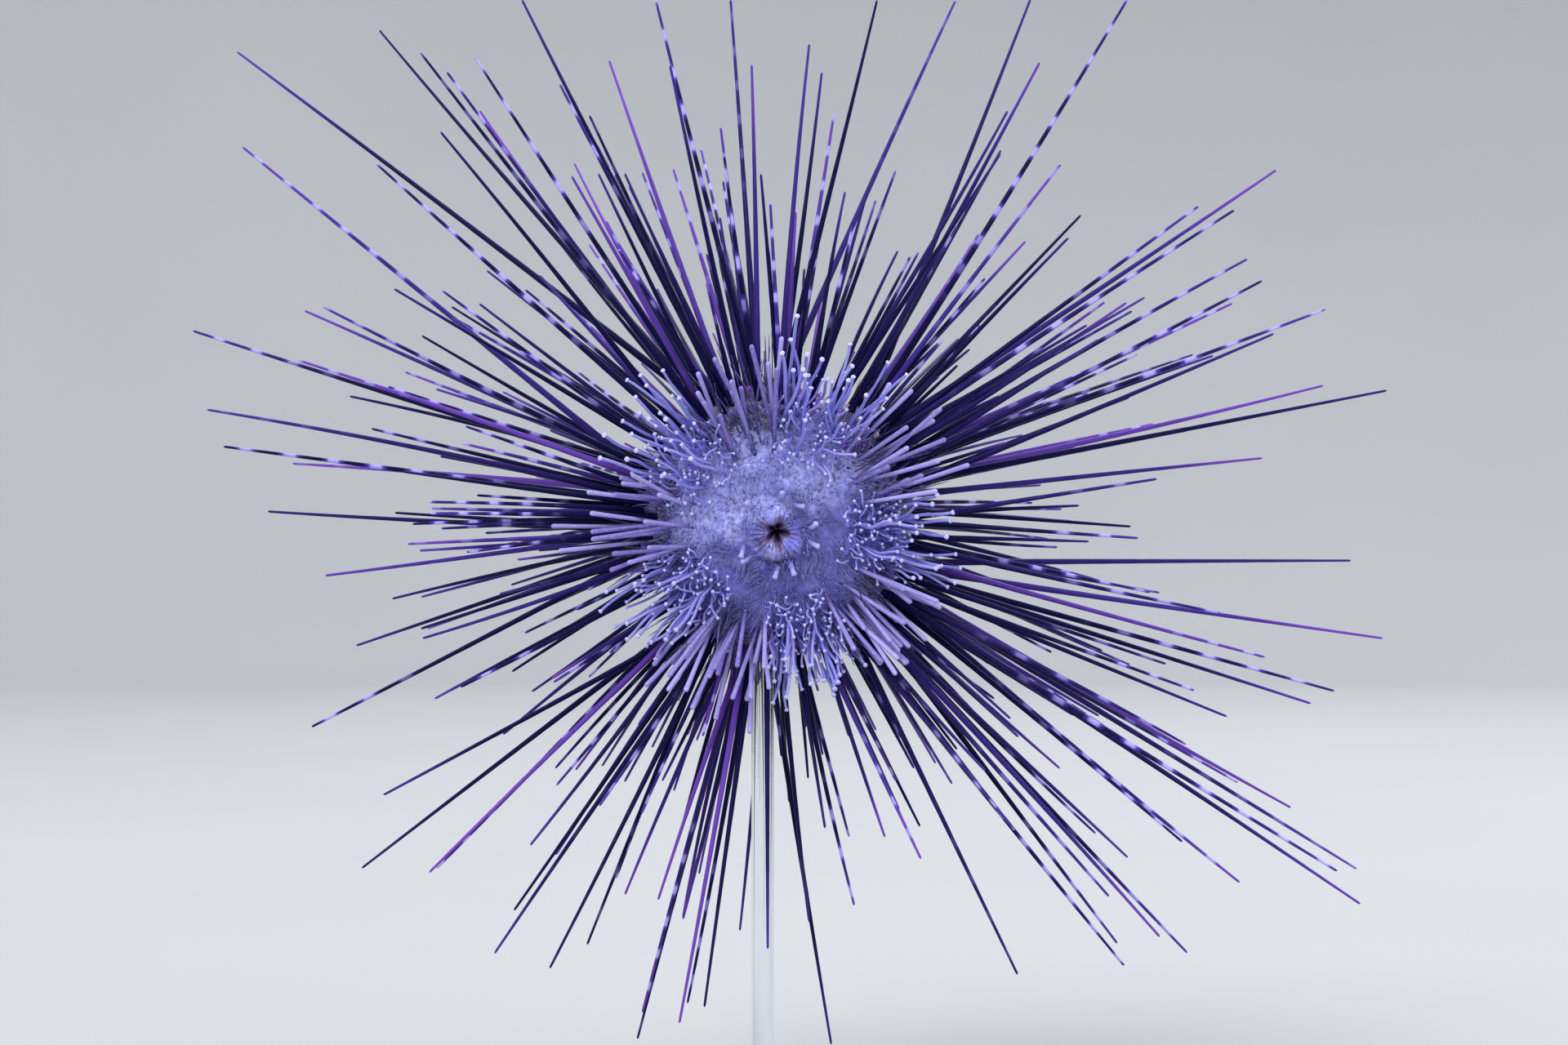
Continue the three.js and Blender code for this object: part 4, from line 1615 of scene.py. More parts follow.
@dataclass
class Skin:
    """One closed skin from the mouth over the shell to the anal cone, with a boss under each spine."""

    sides: int = 300
    mouth_step: float = 0.22
    membrane_step: float = 0.36
    shell_step: float = 0.6
    mouth_share: float = 0.45
    fine_until: float = 55.0
    shell_stations: int = 90
    corner_cut: float = 0.25
    corner_cuts: int = 2
    probe: float = 1.0
    mouth: MouthForm = MouthForm()
    mouth_line: tuple[Ends, ...] = (
        (0, -3), (0.7, -2.9), (1.3, 0.0), (1.9, 1.4), (3.0, 2.25),
        (4.4, 2.0), (6.0, 1.4), (7.8, 1.0), (12, 0.6),
    )
    cone_line: tuple[Ends, ...] = (
        (4.3, -0.5), (4.3, -2.0), (4.8, -3.5), (4.4, -5.2), (3.2, -6.7),
        (2.2, -7), (1.3, -6.7), (0.7, -5), (0, -5),
    )
    long_boss: Ends = (1.7, 1.0)
    short_boss: Ends = (0.95, 0.4)
    foot_boss: Ends = (0.6, 0.25)
    boss_rise: float = 0.9
    furrow: float = 0.5
    furrow_edge: Ends = (3.0, 1.0)
    furrow_from: Ends = (30, 42)
    furrow_until: Ends = (160, 170)
    coarse_lumps: Lumps = Lumps(0.28, 2.6)
    mouth_side_lumps: float = 0.3
    mouth_side: float = 50.0
    fine_lumps: Lumps = Lumps(0.12, 1.1)
    broad_lumps: Lumps = Lumps(0.7, 6.5)
    broad_from: Ends = (4, 8)
    broad_until: float = 60.0
    fringe_wander: tuple[Lumps, Lumps] = (Lumps(2.2, 6.0), Lumps(0.8, 2.0))
    fringe_along_fields: float = 4.0
    fringe: Ends = (20.5, 25.0)
    ring_stain: Ends = (176.5, 178)
    ring_stain_strength: float = 0.9
    radius: Array = field(init=False)
    height: Array = field(init=False)
    angle: Array = field(init=False)
    travelled: Array = field(init=False)

    def __post_init__(self) -> None:
        """Works out the stations of the outline, from the mouth's floor to that of the anal opening."""
        rim = SHELL.angle_at(SHELL.membrane_radius, True)
        last = SHELL.angle_at(SHELL.cone_radius, False)
        angles = np.linspace(rim, last, self.shell_stations)
        mouth = np.array(self.mouth_line) + (0, float(SHELL.meridian(rim)[1]))
        cone = np.array(self.cone_line) + (0, float(SHELL.meridian(last)[1]))
        line = np.concatenate([mouth, np.stack(SHELL.meridian(angles), axis=1), cone])
        mouth_angles = mouth[:, 0] / SHELL.membrane_radius * rim
        cone_angles = np.linspace(last, 180, len(cone) + 1)[1:]
        line = np.column_stack([line, np.concatenate([mouth_angles, angles, cone_angles])])
        near, far = 1 - self.corner_cut, self.corner_cut
        for _ in range(self.corner_cuts):
            ends = [line[:-1] * near + line[1:] * far, line[:-1] * far + line[1:] * near]
            line = np.concatenate([line[:1], np.stack(ends, axis=1).reshape(-1, 3), line[-1:]])
        travelled = np.concatenate([[0], np.cumsum(np.linalg.norm(np.diff(line[:, :2], axis=0), axis=1))])
        step = np.where(line[:, 2] < self.fine_until, self.membrane_step, self.shell_step)
        step = np.where(line[:, 2] < rim * self.mouth_share, self.mouth_step, step)
        step = np.where(line[:, 2] > last, self.membrane_step, step)
        count = np.concatenate([[0], np.cumsum(np.diff(travelled) / step[1:])])
        stations = np.interp(np.arange(0.5, math.floor(count[-1])), count, travelled)
        self.travelled = stations / travelled[-1]
        self.radius, self.height, self.angle = (np.interp(stations, travelled, part) for part in line.T)

    def point(self, turn: Array | float, angle: Array | float) -> Array:
        """Gives a point on the tilted skin, without its bosses."""
        radius = np.interp(angle, self.angle, self.radius)
        return SHELL.tilt(around(radius, turn, np.interp(angle, self.angle, self.height)))

    def way_out(self, turn: Array, angle: Array) -> Array:
        """Gives the outward direction on the tilted skin.

        Args:
            turn: Turn about the shell's axis.
            angle: Degrees from the mouth's pole.

        Returns:
            The direction, with a length of one.
        """
        ends = (angle - self.probe, angle + self.probe)
        near, far = (np.interp(end, self.angle, self.radius) for end in ends)
        low, high = (np.interp(end, self.angle, self.height) for end in ends)
        return SHELL.tilt(unit(around(low - high, turn, far - near)))

    def ground(self) -> Ground:
        """Lays out the skin's points, with the mouth's five-pointed folds.

        Returns:
            The points and what is known of their places.
        """
        turn = -np.arange(self.sides) * 360 / self.sides
        star = np.cos(np.radians(FIELDS * (turn - SHELL.ambulacrum_at)))
        folds = np.interp(self.radius, self.mouth.star_at, self.mouth.star)
        folds = np.where(self.angle < self.mouth.reach, folds, 0)[:, None]
        base = around(self.radius[:, None] * (1 + folds * star), turn, self.height[:, None])
        across = turn_between(turn, SHELL.ambulacrum_at) % FIELD_TURN
        across = np.minimum(across, FIELD_TURN - across)
        inner, outer = self.furrow_edge
        narrow = 1 - smooth(across, SHELL.ambulacrum_half - inner, SHELL.ambulacrum_half + outer)
        return Ground(turn, self.radius[:, None], self.angle[:, None], base, star, narrow)

    def relief(self, ground: Ground, creases: Array, low_side: Array) -> Array:
        """Works out how far the skin swells, without the bosses.

        Args:
            ground: The skin's points.
            creases: Height of the mouth's creases, from -1 to 1.
            low_side: How much of the mouth's fold there is.

        Returns:
            The swelling in millimetres.
        """
        mouth, base, radius, angle = self.mouth, ground.base, ground.radius, ground.angle
        oral = angle < mouth.reach
        lip = bell(radius, *mouth.lip) * oral
        swell = lip * (mouth.crease_tall * creases + mouth.lip_lumps.over(base))
        fold = (radius - mouth.fold[0] + mouth.fold_wander.over(base)) / mouth.fold[1]
        swell += mouth.fold_tall * low_side * (1 + mouth.fold_lumps.over(base)) * np.exp(-(fold**2)) * oral
        coarse = self.coarse_lumps.tall + self.mouth_side_lumps * (angle < self.mouth_side)
        swell += coarse * lumps(base, self.coarse_lumps.size) + self.fine_lumps.over(base)
        swell += self.broad_lumps.over(base) * smooth(radius, *self.broad_from) * (angle < self.broad_until)
        beyond = smooth(angle, *self.furrow_from) * (1 - smooth(angle, *self.furrow_until))
        swell -= self.furrow * ground.narrow * beyond
        return swell

    def raise_bosses(self, ground: Ground, swell: Array, crops: list[tuple[list[Sprout], Ends]]) -> Array:
        """Raises a boss under each sprout.

        Args:
            ground: The skin's points.
            swell: How far the skin swells, to which the bosses are added.
            crops: Sprouts of one kind, with the width and the height of their bosses.

        Returns:
            Where the bosses are, from 0 to 1.
        """
        boss = np.zeros_like(swell)
        for sprouts, (width, tall) in crops:
            for sprout in sprouts:
                centre = SHELL.tilt(sprout.root.point, back=True)
                near = np.linalg.norm(ground.base - centre, axis=-1) / width
                hill = np.exp(-(near**4))
                swell += tall * hill * self.boss_rise
                boss = np.maximum(boss, hill)
        return boss

    def marks(self, ground: Ground, points: Array, creases: Array, low_side: Array) -> dict[str, Array]:
        """Works out where the skin has which colour.

        Args:
            ground: The skin's points before it swelled.
            points: The same points in the animal's frame, after it did.
            creases: Height of the mouth's creases, from -1 to 1.
            low_side: How much of the mouth's fold there is.

        Returns:
            The marks that the finish reads, apart from the bosses.
        """
        mouth, base, radius, angle = self.mouth, ground.base, ground.radius, ground.angle
        oral = angle < mouth.reach
        wide, fine = self.fringe_wander
        fringe = radius + (wide.over(base) + fine.over(base)) - self.fringe_along_fields * ground.narrow
        pale = (1 - smooth(fringe, *self.fringe)) * (angle < 90)
        ragged = radius * (1 - mouth.star_pull * ground.star) + mouth.crease_pull * creases
        ragged = ragged + mouth.ragged.over(base)
        # Painted shade: the mouth's pit is painted black, where shade falls.
        gape = (1 - smooth(ragged, *mouth.gape)) * oral
        stain = (1 - smooth(ragged, *mouth.stain)) * oral * mouth.stain_strength
        # Painted shade: a brown shadow under the lower fold of the mouth, darker in its creases, joined to
        # the real stains.
        chin = (radius - mouth.chin[0] + mouth.chin_wander.over(base)) / mouth.chin[1]
        chin = np.exp(-(chin**2)) * low_side * oral
        crease_shade = (1 - mouth.chin_creases) + mouth.chin_creases * creases
        stain = np.maximum(stain, mouth.chin_strength * chin * crease_shade)
        stain = np.maximum(stain, smooth(angle, *self.ring_stain) * self.ring_stain_strength)
        # The pale skin carries painted light from above, and the mouth painted shade in its pit and under its
        # lower fold.
        return {"pale": pale, "bright": PAINTED_TOP_LIGHT.at(points) * pale, "gape": gape, "stain": stain}

    def build(self, spines: list[Sprout], short_spines: list[Sprout], feet: list[Sprout]) -> None:
        """Makes the skin.

        Args:
            spines: The long spines, each on a large boss.
            short_spines: The short spines, each on a small boss.
            feet: The tube feet, each on a slight swelling.
        """
        ground = self.ground()
        slope, rise = np.gradient(self.radius), np.gradient(self.height)
        outward = unit(around(-rise[:, None], ground.turn, slope[:, None]))
        wander = self.mouth.crease_wander.over(ground.base)
        creases = np.cos(np.radians(self.mouth.creases * ground.turn) + wander)
        above, most = self.mouth.low_side
        low_side = np.clip(-np.sin(np.radians(ground.turn)) + above, 0, most)
        swell = self.relief(ground, creases, low_side)
        crops = [(spines, self.long_boss), (short_spines, self.short_boss), (feet, self.foot_boss)]
        boss = self.raise_bosses(ground, swell, crops)
        points = SHELL.tilt(ground.base + outward * swell[..., None])
        marks = self.marks(ground, points, creases, low_side)
        marks["boss"] = boss * (1 - marks["pale"])
        ends = np.stack([points[0].mean(axis=0), points[-1].mean(axis=0)])
        single = {mark: values[None] for mark, values in marks.items()}
        skin = Rings("skin", points[None], ends[None], self.unwrap, single).build()
        nodes = [*fields_of("ambulacrum"), *fields_of("interambulacrum"), "peristome", "anal_cone"]
        fit(skin, SkinFinish().material(), Slot.MEMBRANE, *nodes)

    def unwrap(self, around_share: Array, along_share: Array, number: Array) -> Array:
        """Lays the skin out flat and round, the mouth in the middle.

        Args:
            around_share: Share of the way round the skin.
            along_share: Share of the way from the mouth to the cone.
            number: Number of the body, which is the only one; not used.

        Returns:
            The places on the bake map.
        """
        stations = np.concatenate([[0], self.travelled, [1]])
        spread = np.interp(along_share, np.linspace(0, 1, len(stations)), stations)
        return 0.5 + around(BAKE_SPREAD * spread, -360 * around_share, 0.0)[:, :2]


@dataclass
class Crowd:
    """Many sprouts of a kind, taken together: a row for each of them."""

    sprouts: list[Sprout]

    @property
    def items(self) -> list[int]:
        """What their draws go by."""
        return [sprout.root.item for sprout in self.sprouts]

    def draws(self, use: Use) -> Array:
        """Gives the draw of each."""
        return np.array([draw(item, use) for item in self.items])

    def starts(self) -> Array:
        """Gives where each starts."""
        return np.array([sprout.rods[0].start for sprout in self.sprouts])

    def ends(self, rod: int = 0) -> Array:
        """Gives where a numbered rod of each ends."""
        return np.array([sprout.rods[rod].end for sprout in self.sprouts])

    def lengths(self) -> Array:
        """Gives the length of the first rod of each, as a column."""
        return np.linalg.norm(self.ends() - self.starts(), axis=1)[:, None]

    def radii(self, share: Array) -> Array:
        """Gives the radius of each at a share of its length.

        Args:
            share: Share of the length at each ring.

        Returns:
            The radii.
        """
        thick = np.array([sprout.rods[0].thick for sprout in self.sprouts])[:, None]
        thin = np.array([sprout.rods[0].thin for sprout in self.sprouts])[:, None]
        return thick + (thin - thick) * share


@dataclass(frozen=True)
class ShaftForm:
    """Where the rings of a spine lie, in millimetres, and how wide it is there.

    Attributes:
        rings: Number of rings.
        root: How far the first rings lie from the root.
        root_widths: Their widths, as shares of the spine's.
        evenly: How far from the root, and from the tip, the even rings start and end.
        tip: How far the last rings lie past the tip.
        tip_widths: Their widths, as shares of the spine's.
    """

    rings: int
    root: Row
    root_widths: Row
    evenly: Ends
    tip: Row
    tip_widths: Row

    def along(self, length: Array) -> Array:
        """Places the rings along each spine.

        Args:
            length: The spines' lengths, as a column.

        Returns:
            How far each ring lies from the root.
        """
        root = np.tile(self.root, (len(length), 1))
        even = np.linspace(0, 1, self.rings - len(self.root) - len(self.tip) + 1)[None, 1:]
        shaft = self.evenly[0] + (length - sum(self.evenly)) * even
        return np.concatenate([root, shaft, length + np.array(self.tip)], axis=1)

    def widths(self) -> Array:
        """Gives the width of each ring."""
        middle = (1.0,) * (self.rings - len(self.root) - len(self.tip))
        return np.array((*self.root_widths, *middle, *self.tip_widths))


@dataclass
class LongSpines:
    """The long spines, a piece for each field."""

    form: ShaftForm = ShaftForm(
        44, (-1.2, 0, 0.4, 0.9, 1.5, 2.2), (1.2, 1.3, 1.3, 1.235, 1.05, 1.0),
        (2.2, 0.9), (-0.5, -0.25, -0.08, 0), (0.96, 0.8, 0.5, 0.2),
    )
    sides: int = 9
    bow: float = 0.012
    bow_turn: float = 77.0
    bow_rise: float = 0.3
    swelling: float = 0.03
    swelling_beat: float = 0.9
    banded: Ends = (0.4, 0.8)
    bands_from: Ends = (0.2, 0.65)
    band_rise: float = 0.3
    band_pitch: Ends = (6.6, 9.8)
    band_stretch: float = 1 / 1400
    violet_side: float = -30.0
    violet_turns: Ends = (120, 40)
    darkness: Ends = (4.6, 2.4)
    pale_tip: float = 0.8
    pale_from: float = 0.62

    def paths(self, crowd: Crowd, along: Array) -> Array:
        """Works out slightly bowed centre lines.

        Args:
            crowd: The spines.
            along: How far each ring lies from the root.

        Returns:
            The paths.
        """
        length, direction = crowd.lengths(), unit(crowd.ends() - crowd.starts())
        share = along / length
        side = around(1.0, np.array(crowd.items) * self.bow_turn, self.bow_rise)
        sideways = unit(np.cross(direction, side))[:, None]
        bows = (2 * crowd.draws(Use.BOW) - 1)[:, None] * self.bow * length
        bent = 4 * share * (1 - np.clip(share, 0, 1)) * bows
        return crowd.starts()[:, None] + direction[:, None] * along[..., None] + sideways * bent[..., None]

    def marks(self, crowd: Crowd, along: Array) -> dict[str, Array]:
        """Works out the tones and the bands.

        Args:
            crowd: The spines.
            along: How far each ring lies from the root.

        Returns:
            The marks that the finish reads.
        """
        share = along / along[:, -1:]
        banding = smooth(crowd.draws(Use.BANDS), *self.banded)[:, None]
        start = between(self.bands_from, crowd.draws(Use.PLACE))[:, None]
        pitch = between(self.band_pitch, crowd.draws(Use.ROW))[:, None]
        turns = np.array([sprout.root.turn for sprout in crowd.sprouts])
        reddish = smooth(turn_between(turns, self.violet_side), *self.violet_turns)
        tone = crowd.draws(Use.TONE) ** between(self.darkness, reddish)
        tips = crowd.draws(Use.LEAN) * self.pale_tip
        return {
            "along": along,
            "share": share,
            "tone": tone[:, None] + tips[:, None] * smooth(share, self.pale_from, 1.0),
            "beat": (along - along**2 * self.band_stretch) / pitch + crowd.draws(Use.PHASE)[:, None],
            "banding": banding * smooth((share - start) / self.band_rise, 0, 1),
        }

    def build(self, sprouts: list[Sprout]) -> None:
        """Makes the spines.

        Args:
            sprouts: All long spines.
        """
        material = SpineFinish().material()
        kinds = ((True, "long_spines", "interambulacrum"), (False, "row_spines", "ambulacrum"))
        for (wide, name, node), number in itertools.product(kinds, range(FIELDS)):
            own = [sprout for sprout in sprouts if sprout.root.number == number and sprout.root.wide == wide]
            crowd = Crowd(own)
            along = self.form.along(crowd.lengths())
            items = np.array(crowd.items, float)[:, None]
            radii = crowd.radii(np.clip(along / crowd.lengths(), 0, 1))
            swelling = 1 + self.swelling * np.sin(along * self.swelling_beat + items)
            radii = radii * self.form.widths() * swelling
            layout, marks = strips(len(own), len(own)), self.marks(crowd, along)
            piece = tubes(f"{name}_{number + 1}", self.paths(crowd, along), radii, self.sides, layout, marks)
            fit(piece, material, Slot.SPINES, f"{node}_{number + 1}")


@dataclass
class ShortSpines:
    """The short blunt spines round the mouth side, in one piece."""

    form: ShaftForm = ShaftForm(
        16, (-1.0, 0, 0.3), (1.2, 1.25, 1.15), (0, 1.6), (-1.2, -0.5, -0.18, 0), (1.0, 1.04, 0.85, 0.45)
    )
    sides: int = 8
    columns: int = 60

    def build(self, sprouts: list[Sprout]) -> None:
        """Makes the spines.

        Args:
            sprouts: All short spines.
        """
        crowd = Crowd(sprouts)
        starts, length = crowd.starts(), crowd.lengths()
        along = self.form.along(length)
        share = np.clip(along / length, 0, 1)
        radii = crowd.radii(share**2) * self.form.widths()
        paths = starts[:, None] + unit(crowd.ends() - starts)[:, None] * along[..., None]
        marks = {"along": along, "share": share, "tone": crowd.draws(Use.TONE)}
        layout = strips(len(sprouts), self.columns)
        piece = tubes("short_spines", paths, radii, self.sides, layout, marks)
        fit(piece, ShortSpineFinish().material(), Slot.SPINES, *fields_of("interambulacrum"))


def curved(root: Array, bend: Array, tip: Array, share: Array) -> Array:
    """Gives points on the curve from a root to a tip that a bend draws to its side."""
    return root * (1 - share) ** 2 + bend * 2 * share * (1 - share) + tip * share**2


@dataclass
class TubeFeet:
    """The tube feet, a piece for each narrow field, each foot a supple stem with a disc."""

    rings: int = 22
    sides: int = 9
    sunk: float = 0.6
    thick: float = 0.31
    disc: float = 0.52
    stem_end: float = 0.7
    disc_at: Row = (-0.5, -0.34, -0.2, -0.07, 0)
    disc_widths: Row = (0.8, 1.0, 0.94, 0.6)
    disc_marks: Row = (0.3, 0.9, 1, 1, 0.8)
    root_widths: Ends = (1.5, 1.2)
    sizes: Ends = (0.68, 1.08)
    size_lengths: Ends = (5, 18)
    stray_size: Ends = (0.9, 1.1)
    wriggle: float = 2.0
    wriggle_beat: float = 5.0
    columns: int = 24

    def paths(self, crowd: Crowd, along: Array) -> Array:
        """Works out supple centre lines.

        Args:
            crowd: The feet.
            along: Share of the way of each ring.

        Returns:
            The paths.
        """
        root, bend, tip = (part[:, None] for part in (crowd.starts(), crowd.ends(), crowd.ends(1)))
        out = np.array([sprout.root.out for sprout in crowd.sprouts])[:, None]
        items = np.array(crowd.items, float)[:, None, None]
        t = along[..., None]
        sideways = unit(np.cross(unit(tip - root), out))
        wriggle = sideways * np.sin(t * self.wriggle_beat + items) * t * (1 - t) * self.wriggle
        paths = curved(root, bend, tip, t) + wriggle
        paths[:, 0] -= out[:, 0] * self.sunk
        return paths

    def build(self, sprouts: list[Sprout]) -> None:
        """Makes the feet.

        Args:
            sprouts: All tube feet.
        """
        material = FootFinish().material()
        last = len(self.disc_at)
        widths = np.full(self.rings, self.thick)
        widths[: len(self.root_widths)] = self.thick * np.array(self.root_widths)
        widths[-len(self.disc_widths) :] = self.disc * np.array(self.disc_widths)
        disc = np.zeros(self.rings)
        disc[-last:] = self.disc_marks
        for number in range(FIELDS):
            own = [sprout for sprout in sprouts if sprout.root.number == number]
            crowd = Crowd(own)
            length = np.array([sprout.length for sprout in own])[:, None]
            stem = np.linspace(0, 1, self.rings - last)[None] * (length - self.stem_end) / length
            along = np.concatenate([stem, 1 + np.array(self.disc_at) / length], axis=1)
            stray = between(self.stray_size, crowd.draws(Use.PLACE))[:, None]
            radii = widths * (between(self.sizes, smooth(length, *self.size_lengths)) * stray)
            discs = np.broadcast_to(disc, along.shape)
            marks = {"along": along * length, "disc": discs, "tone": crowd.draws(Use.TONE)}
            layout, name = strips(len(own), self.columns), f"tube_feet_{number + 1}"
            piece = tubes(name, self.paths(crowd, along), radii, self.sides, layout, marks)
            fit(piece, material, Slot.FEET, f"ambulacrum_{number + 1}")


MOUTH_FOOT_FINISH = FuzzFinish("mouth_foot_finish", low=(0.18, 0.17, 0.52, 1), high=(0.46, 0.48, 0.94, 1))
# The tone of these hairs and papillae is partly painted light from above.
PALE_FINISH = FuzzFinish("papilla_finish", low=(0.11, 0.115, 0.45, 1), high=(0.58, 0.61, 1.0, 1))
DARK_FINISH = FuzzFinish("fine_spine_finish", low=(0.01, 0.008, 0.06, 1), high=(0.17, 0.13, 0.46, 1))
# Painted glint: the dots give light of their own to stand in for their iridescent shine.
DOT_FINISH = FuzzFinish("dot_finish", low=(0.05, 0.04, 0.95, 1), high=(0.75, 0.06, 0.85, 1), glow=0.35)
CONE_FINISH = FuzzFinish("cone_finish", low=(0.1, 0.03, 0.02, 1), high=(0.55, 0.2, 0.05, 1))


@dataclass
class MouthFeet:
    """The ten stout, ribbed feet in pairs on the mouth membrane."""

    ring: float = 7.4
    apart: float = 11.0
    lift: float = 0.4
    length: float = 4.8
    sunk: float = 1.4
    lean: float = -22.0
    stray: float = 65.0
    thick: float = 0.5
    cup_at: Row = (0, 0.86, 0.92, 0.97, 1)
    cup: Row = (1, 1, 1.32, 1.25, 0.8)
    rib_pitch: float = 0.5
    rib_depth: float = 0.09
    tone_spread: float = 0.3
    pale_from: Ends = (0.5, 0.95)
    first_item: int = 300
    rings: int = 34
    sides: int = 14

    def build(self) -> None:
        """Makes the feet."""
        angle = SHELL.angle_at(self.ring, True)
        t = np.linspace(0, 1, self.rings)
        ribs = 2 * math.pi * t * (self.length + self.sunk) / self.rib_pitch
        cup = np.interp(t, self.cup_at, self.cup)
        paths, radii, tones = [], [], []
        for pair, side in itertools.product(range(FIELDS), (-1, 1)):
            item = self.first_item + 2 * pair + side
            turn = SHELL.middle(pair, False) + side * self.apart
            out = SHELL.way_out(turn, angle)
            root = SHELL.point(turn, angle, self.lift)
            bend = root + out * self.length / 2
            tip = bend + heading(turn + self.stray * sway(item, Use.TURN), self.lean) * self.length / 2
            paths.append(curved(root - out * self.sunk, bend, tip, t[:, None]))
            radii.append(self.thick * (1 + self.rib_depth * np.cos(ribs + pair)) * cup)
            pale = (1 - self.tone_spread) * smooth(t, *self.pale_from)
            tones.append(self.tone_spread * draw(item, Use.TONE) + pale)
        layout, marks = strips(len(paths), len(paths)), {"tone": np.array(tones)}
        piece = tubes("mouth_feet", np.array(paths), np.array(radii), self.sides, layout, marks)
        fit(piece, MOUTH_FOOT_FINISH.material(), Slot.MEMBRANE, "peristome")


class Growth(Enum):
    """How wide a small growth is from its root to its end, as shares of its thickness."""

    STALK = (1.2, 1.0, 0.8, 1.3, 1.2, 0.5)
    THORN = (1.3, 1.0, 0.8, 0.6, 0.45, 0.2)
    BEAD = (1.0, 1.0, 0.9, 0.62, 0.42, 0.15)


@dataclass(frozen=True)
class Tufts:
    """A crop of many small growths over the skin.

    Attributes:
        name: The piece's name.
        growth: Their shape.
        count: How many there are.
        item: Number that their draws count from.
        angles: First and last angle of the roots from the mouth's pole.
        lengths: Shortest and longest.
        thick: Radius at the root.
        lean: How far they lean at random.
        sweep: How far they lean away from the axis.
        wide_only: Keeps them to the wide fields.
        lit: How much their tone follows the painted light on the pale skin.
        combed: How much of their lean they share with their neighbours.
        swirl: Distance over which a shared lean changes.
        combing: How far they lean where they are combed.
        curl: How far their ends curl with their neighbours.
        lift: How far their ends curl up.
    """

    name: str
    growth: Growth
    count: int
    item: int
    angles: Ends
    lengths: Ends
    thick: float
    lean: float
    sweep: float = 0.0
    wide_only: bool = False
    lit: float = 0.0
    combed: float = 0.0
    swirl: float = 4.0
    combing: float = 1.8
    curl: float = 0.35
    lift: float = 0.1
    shifts: tuple[float, float, float] = (0.0, 50.0, 100.0)
    stations: Row = (-0.15, 0.0, 0.45, 0.8, 0.93, 1.0)
    thickness: Ends = (0.75, 1.25)
    sides: int = 6

    def build(self, skin: Skin, finish: FuzzFinish, slot: Slot, nodes: list[str]) -> None:
        """Makes the crop.

        Args:
            skin: What they grow on.
            finish: Their finish.
            slot: The record's slot of the piece.
            nodes: The solids that the piece helps to stand for.
        """
        items = range(self.item, self.item + self.count)
        draws = {use: np.array([draw(item, use) for item in items]) for use in Use}
        angles = between(self.angles, draws[Use.ROW])
        turns = 360 * draws[Use.PLACE]
        if self.wide_only:
            middles = np.array([SHELL.middle(item % FIELDS, True) for item in items])
            turns = middles + (2 * draws[Use.PLACE] - 1) * SHELL.wide_half
        out, root = skin.way_out(turns, angles), skin.point(turns, angles)
        scatter = np.stack([2 * draws[use] - 1 for use in (Use.LEAN, Use.TURN, Use.BOW)], axis=1)
        common = np.stack([lumps(root + shift, self.swirl) for shift in self.shifts], axis=1)
        lean = between((scatter, self.combing * common), self.combed) * self.lean
        sweep = SHELL.tilt(around(self.sweep, turns, 0.0))
        along = unit(out + lean + sweep)
        length = between(self.lengths, draws[Use.LENGTH])[:, None, None]
        t = np.array(self.stations)[None, :, None]
        curl = out * self.lift + common * self.combed * self.curl
        paths = root[:, None] + along[:, None] * length * t + curl[:, None] * length * t**2
        stout = between(self.thickness, draws[Use.PHASE])[:, None]
        radii = self.thick * np.array(self.growth.value)[None] * stout
        # Painted light: hairs and papillae are paler where the painted light from above falls on the skin.
        marks = {"tone": draws[Use.TONE] * (1 - self.lit) + PAINTED_TOP_LIGHT.at(root) * self.lit}
        piece = tubes(self.name, paths, radii, self.sides, root_patches(turns, angles), marks)
        fit(piece, finish.material(), slot, *nodes)


HAIRS = Tufts(
    "membrane_hairs", Growth.THORN, count=2700, item=60000, angles=(9, 60), lengths=(1.4, 3.6),
    thick=0.06, lean=1.1, sweep=0.5, lit=0.6, combed=0.75,
)
PAPILLAE = Tufts(
    "papillae", Growth.STALK, count=2600, item=20000, angles=(7, 62), lengths=(0.4, 1.5),
    thick=0.1, lean=0.6, lit=0.7, combed=0.3,
)
FINE_SPINES = Tufts(
    "fine_spines", Growth.THORN, count=900, item=30000, angles=(34, 168), lengths=(4, 12),
    thick=0.17, lean=0.5, sweep=0.5, wide_only=True,
)
DOTS = Tufts(
    "skin_dots", Growth.BEAD, count=260, item=40000, angles=(42, 130), lengths=(0.5, 0.9),
    thick=0.3, lean=0.1,
)
CONE_PAPILLAE = Tufts(
    "cone_papillae", Growth.STALK, count=60, item=50000, angles=(176.2, 178.2), lengths=(0.5, 1.1),
    thick=0.16, lean=0.3,
)


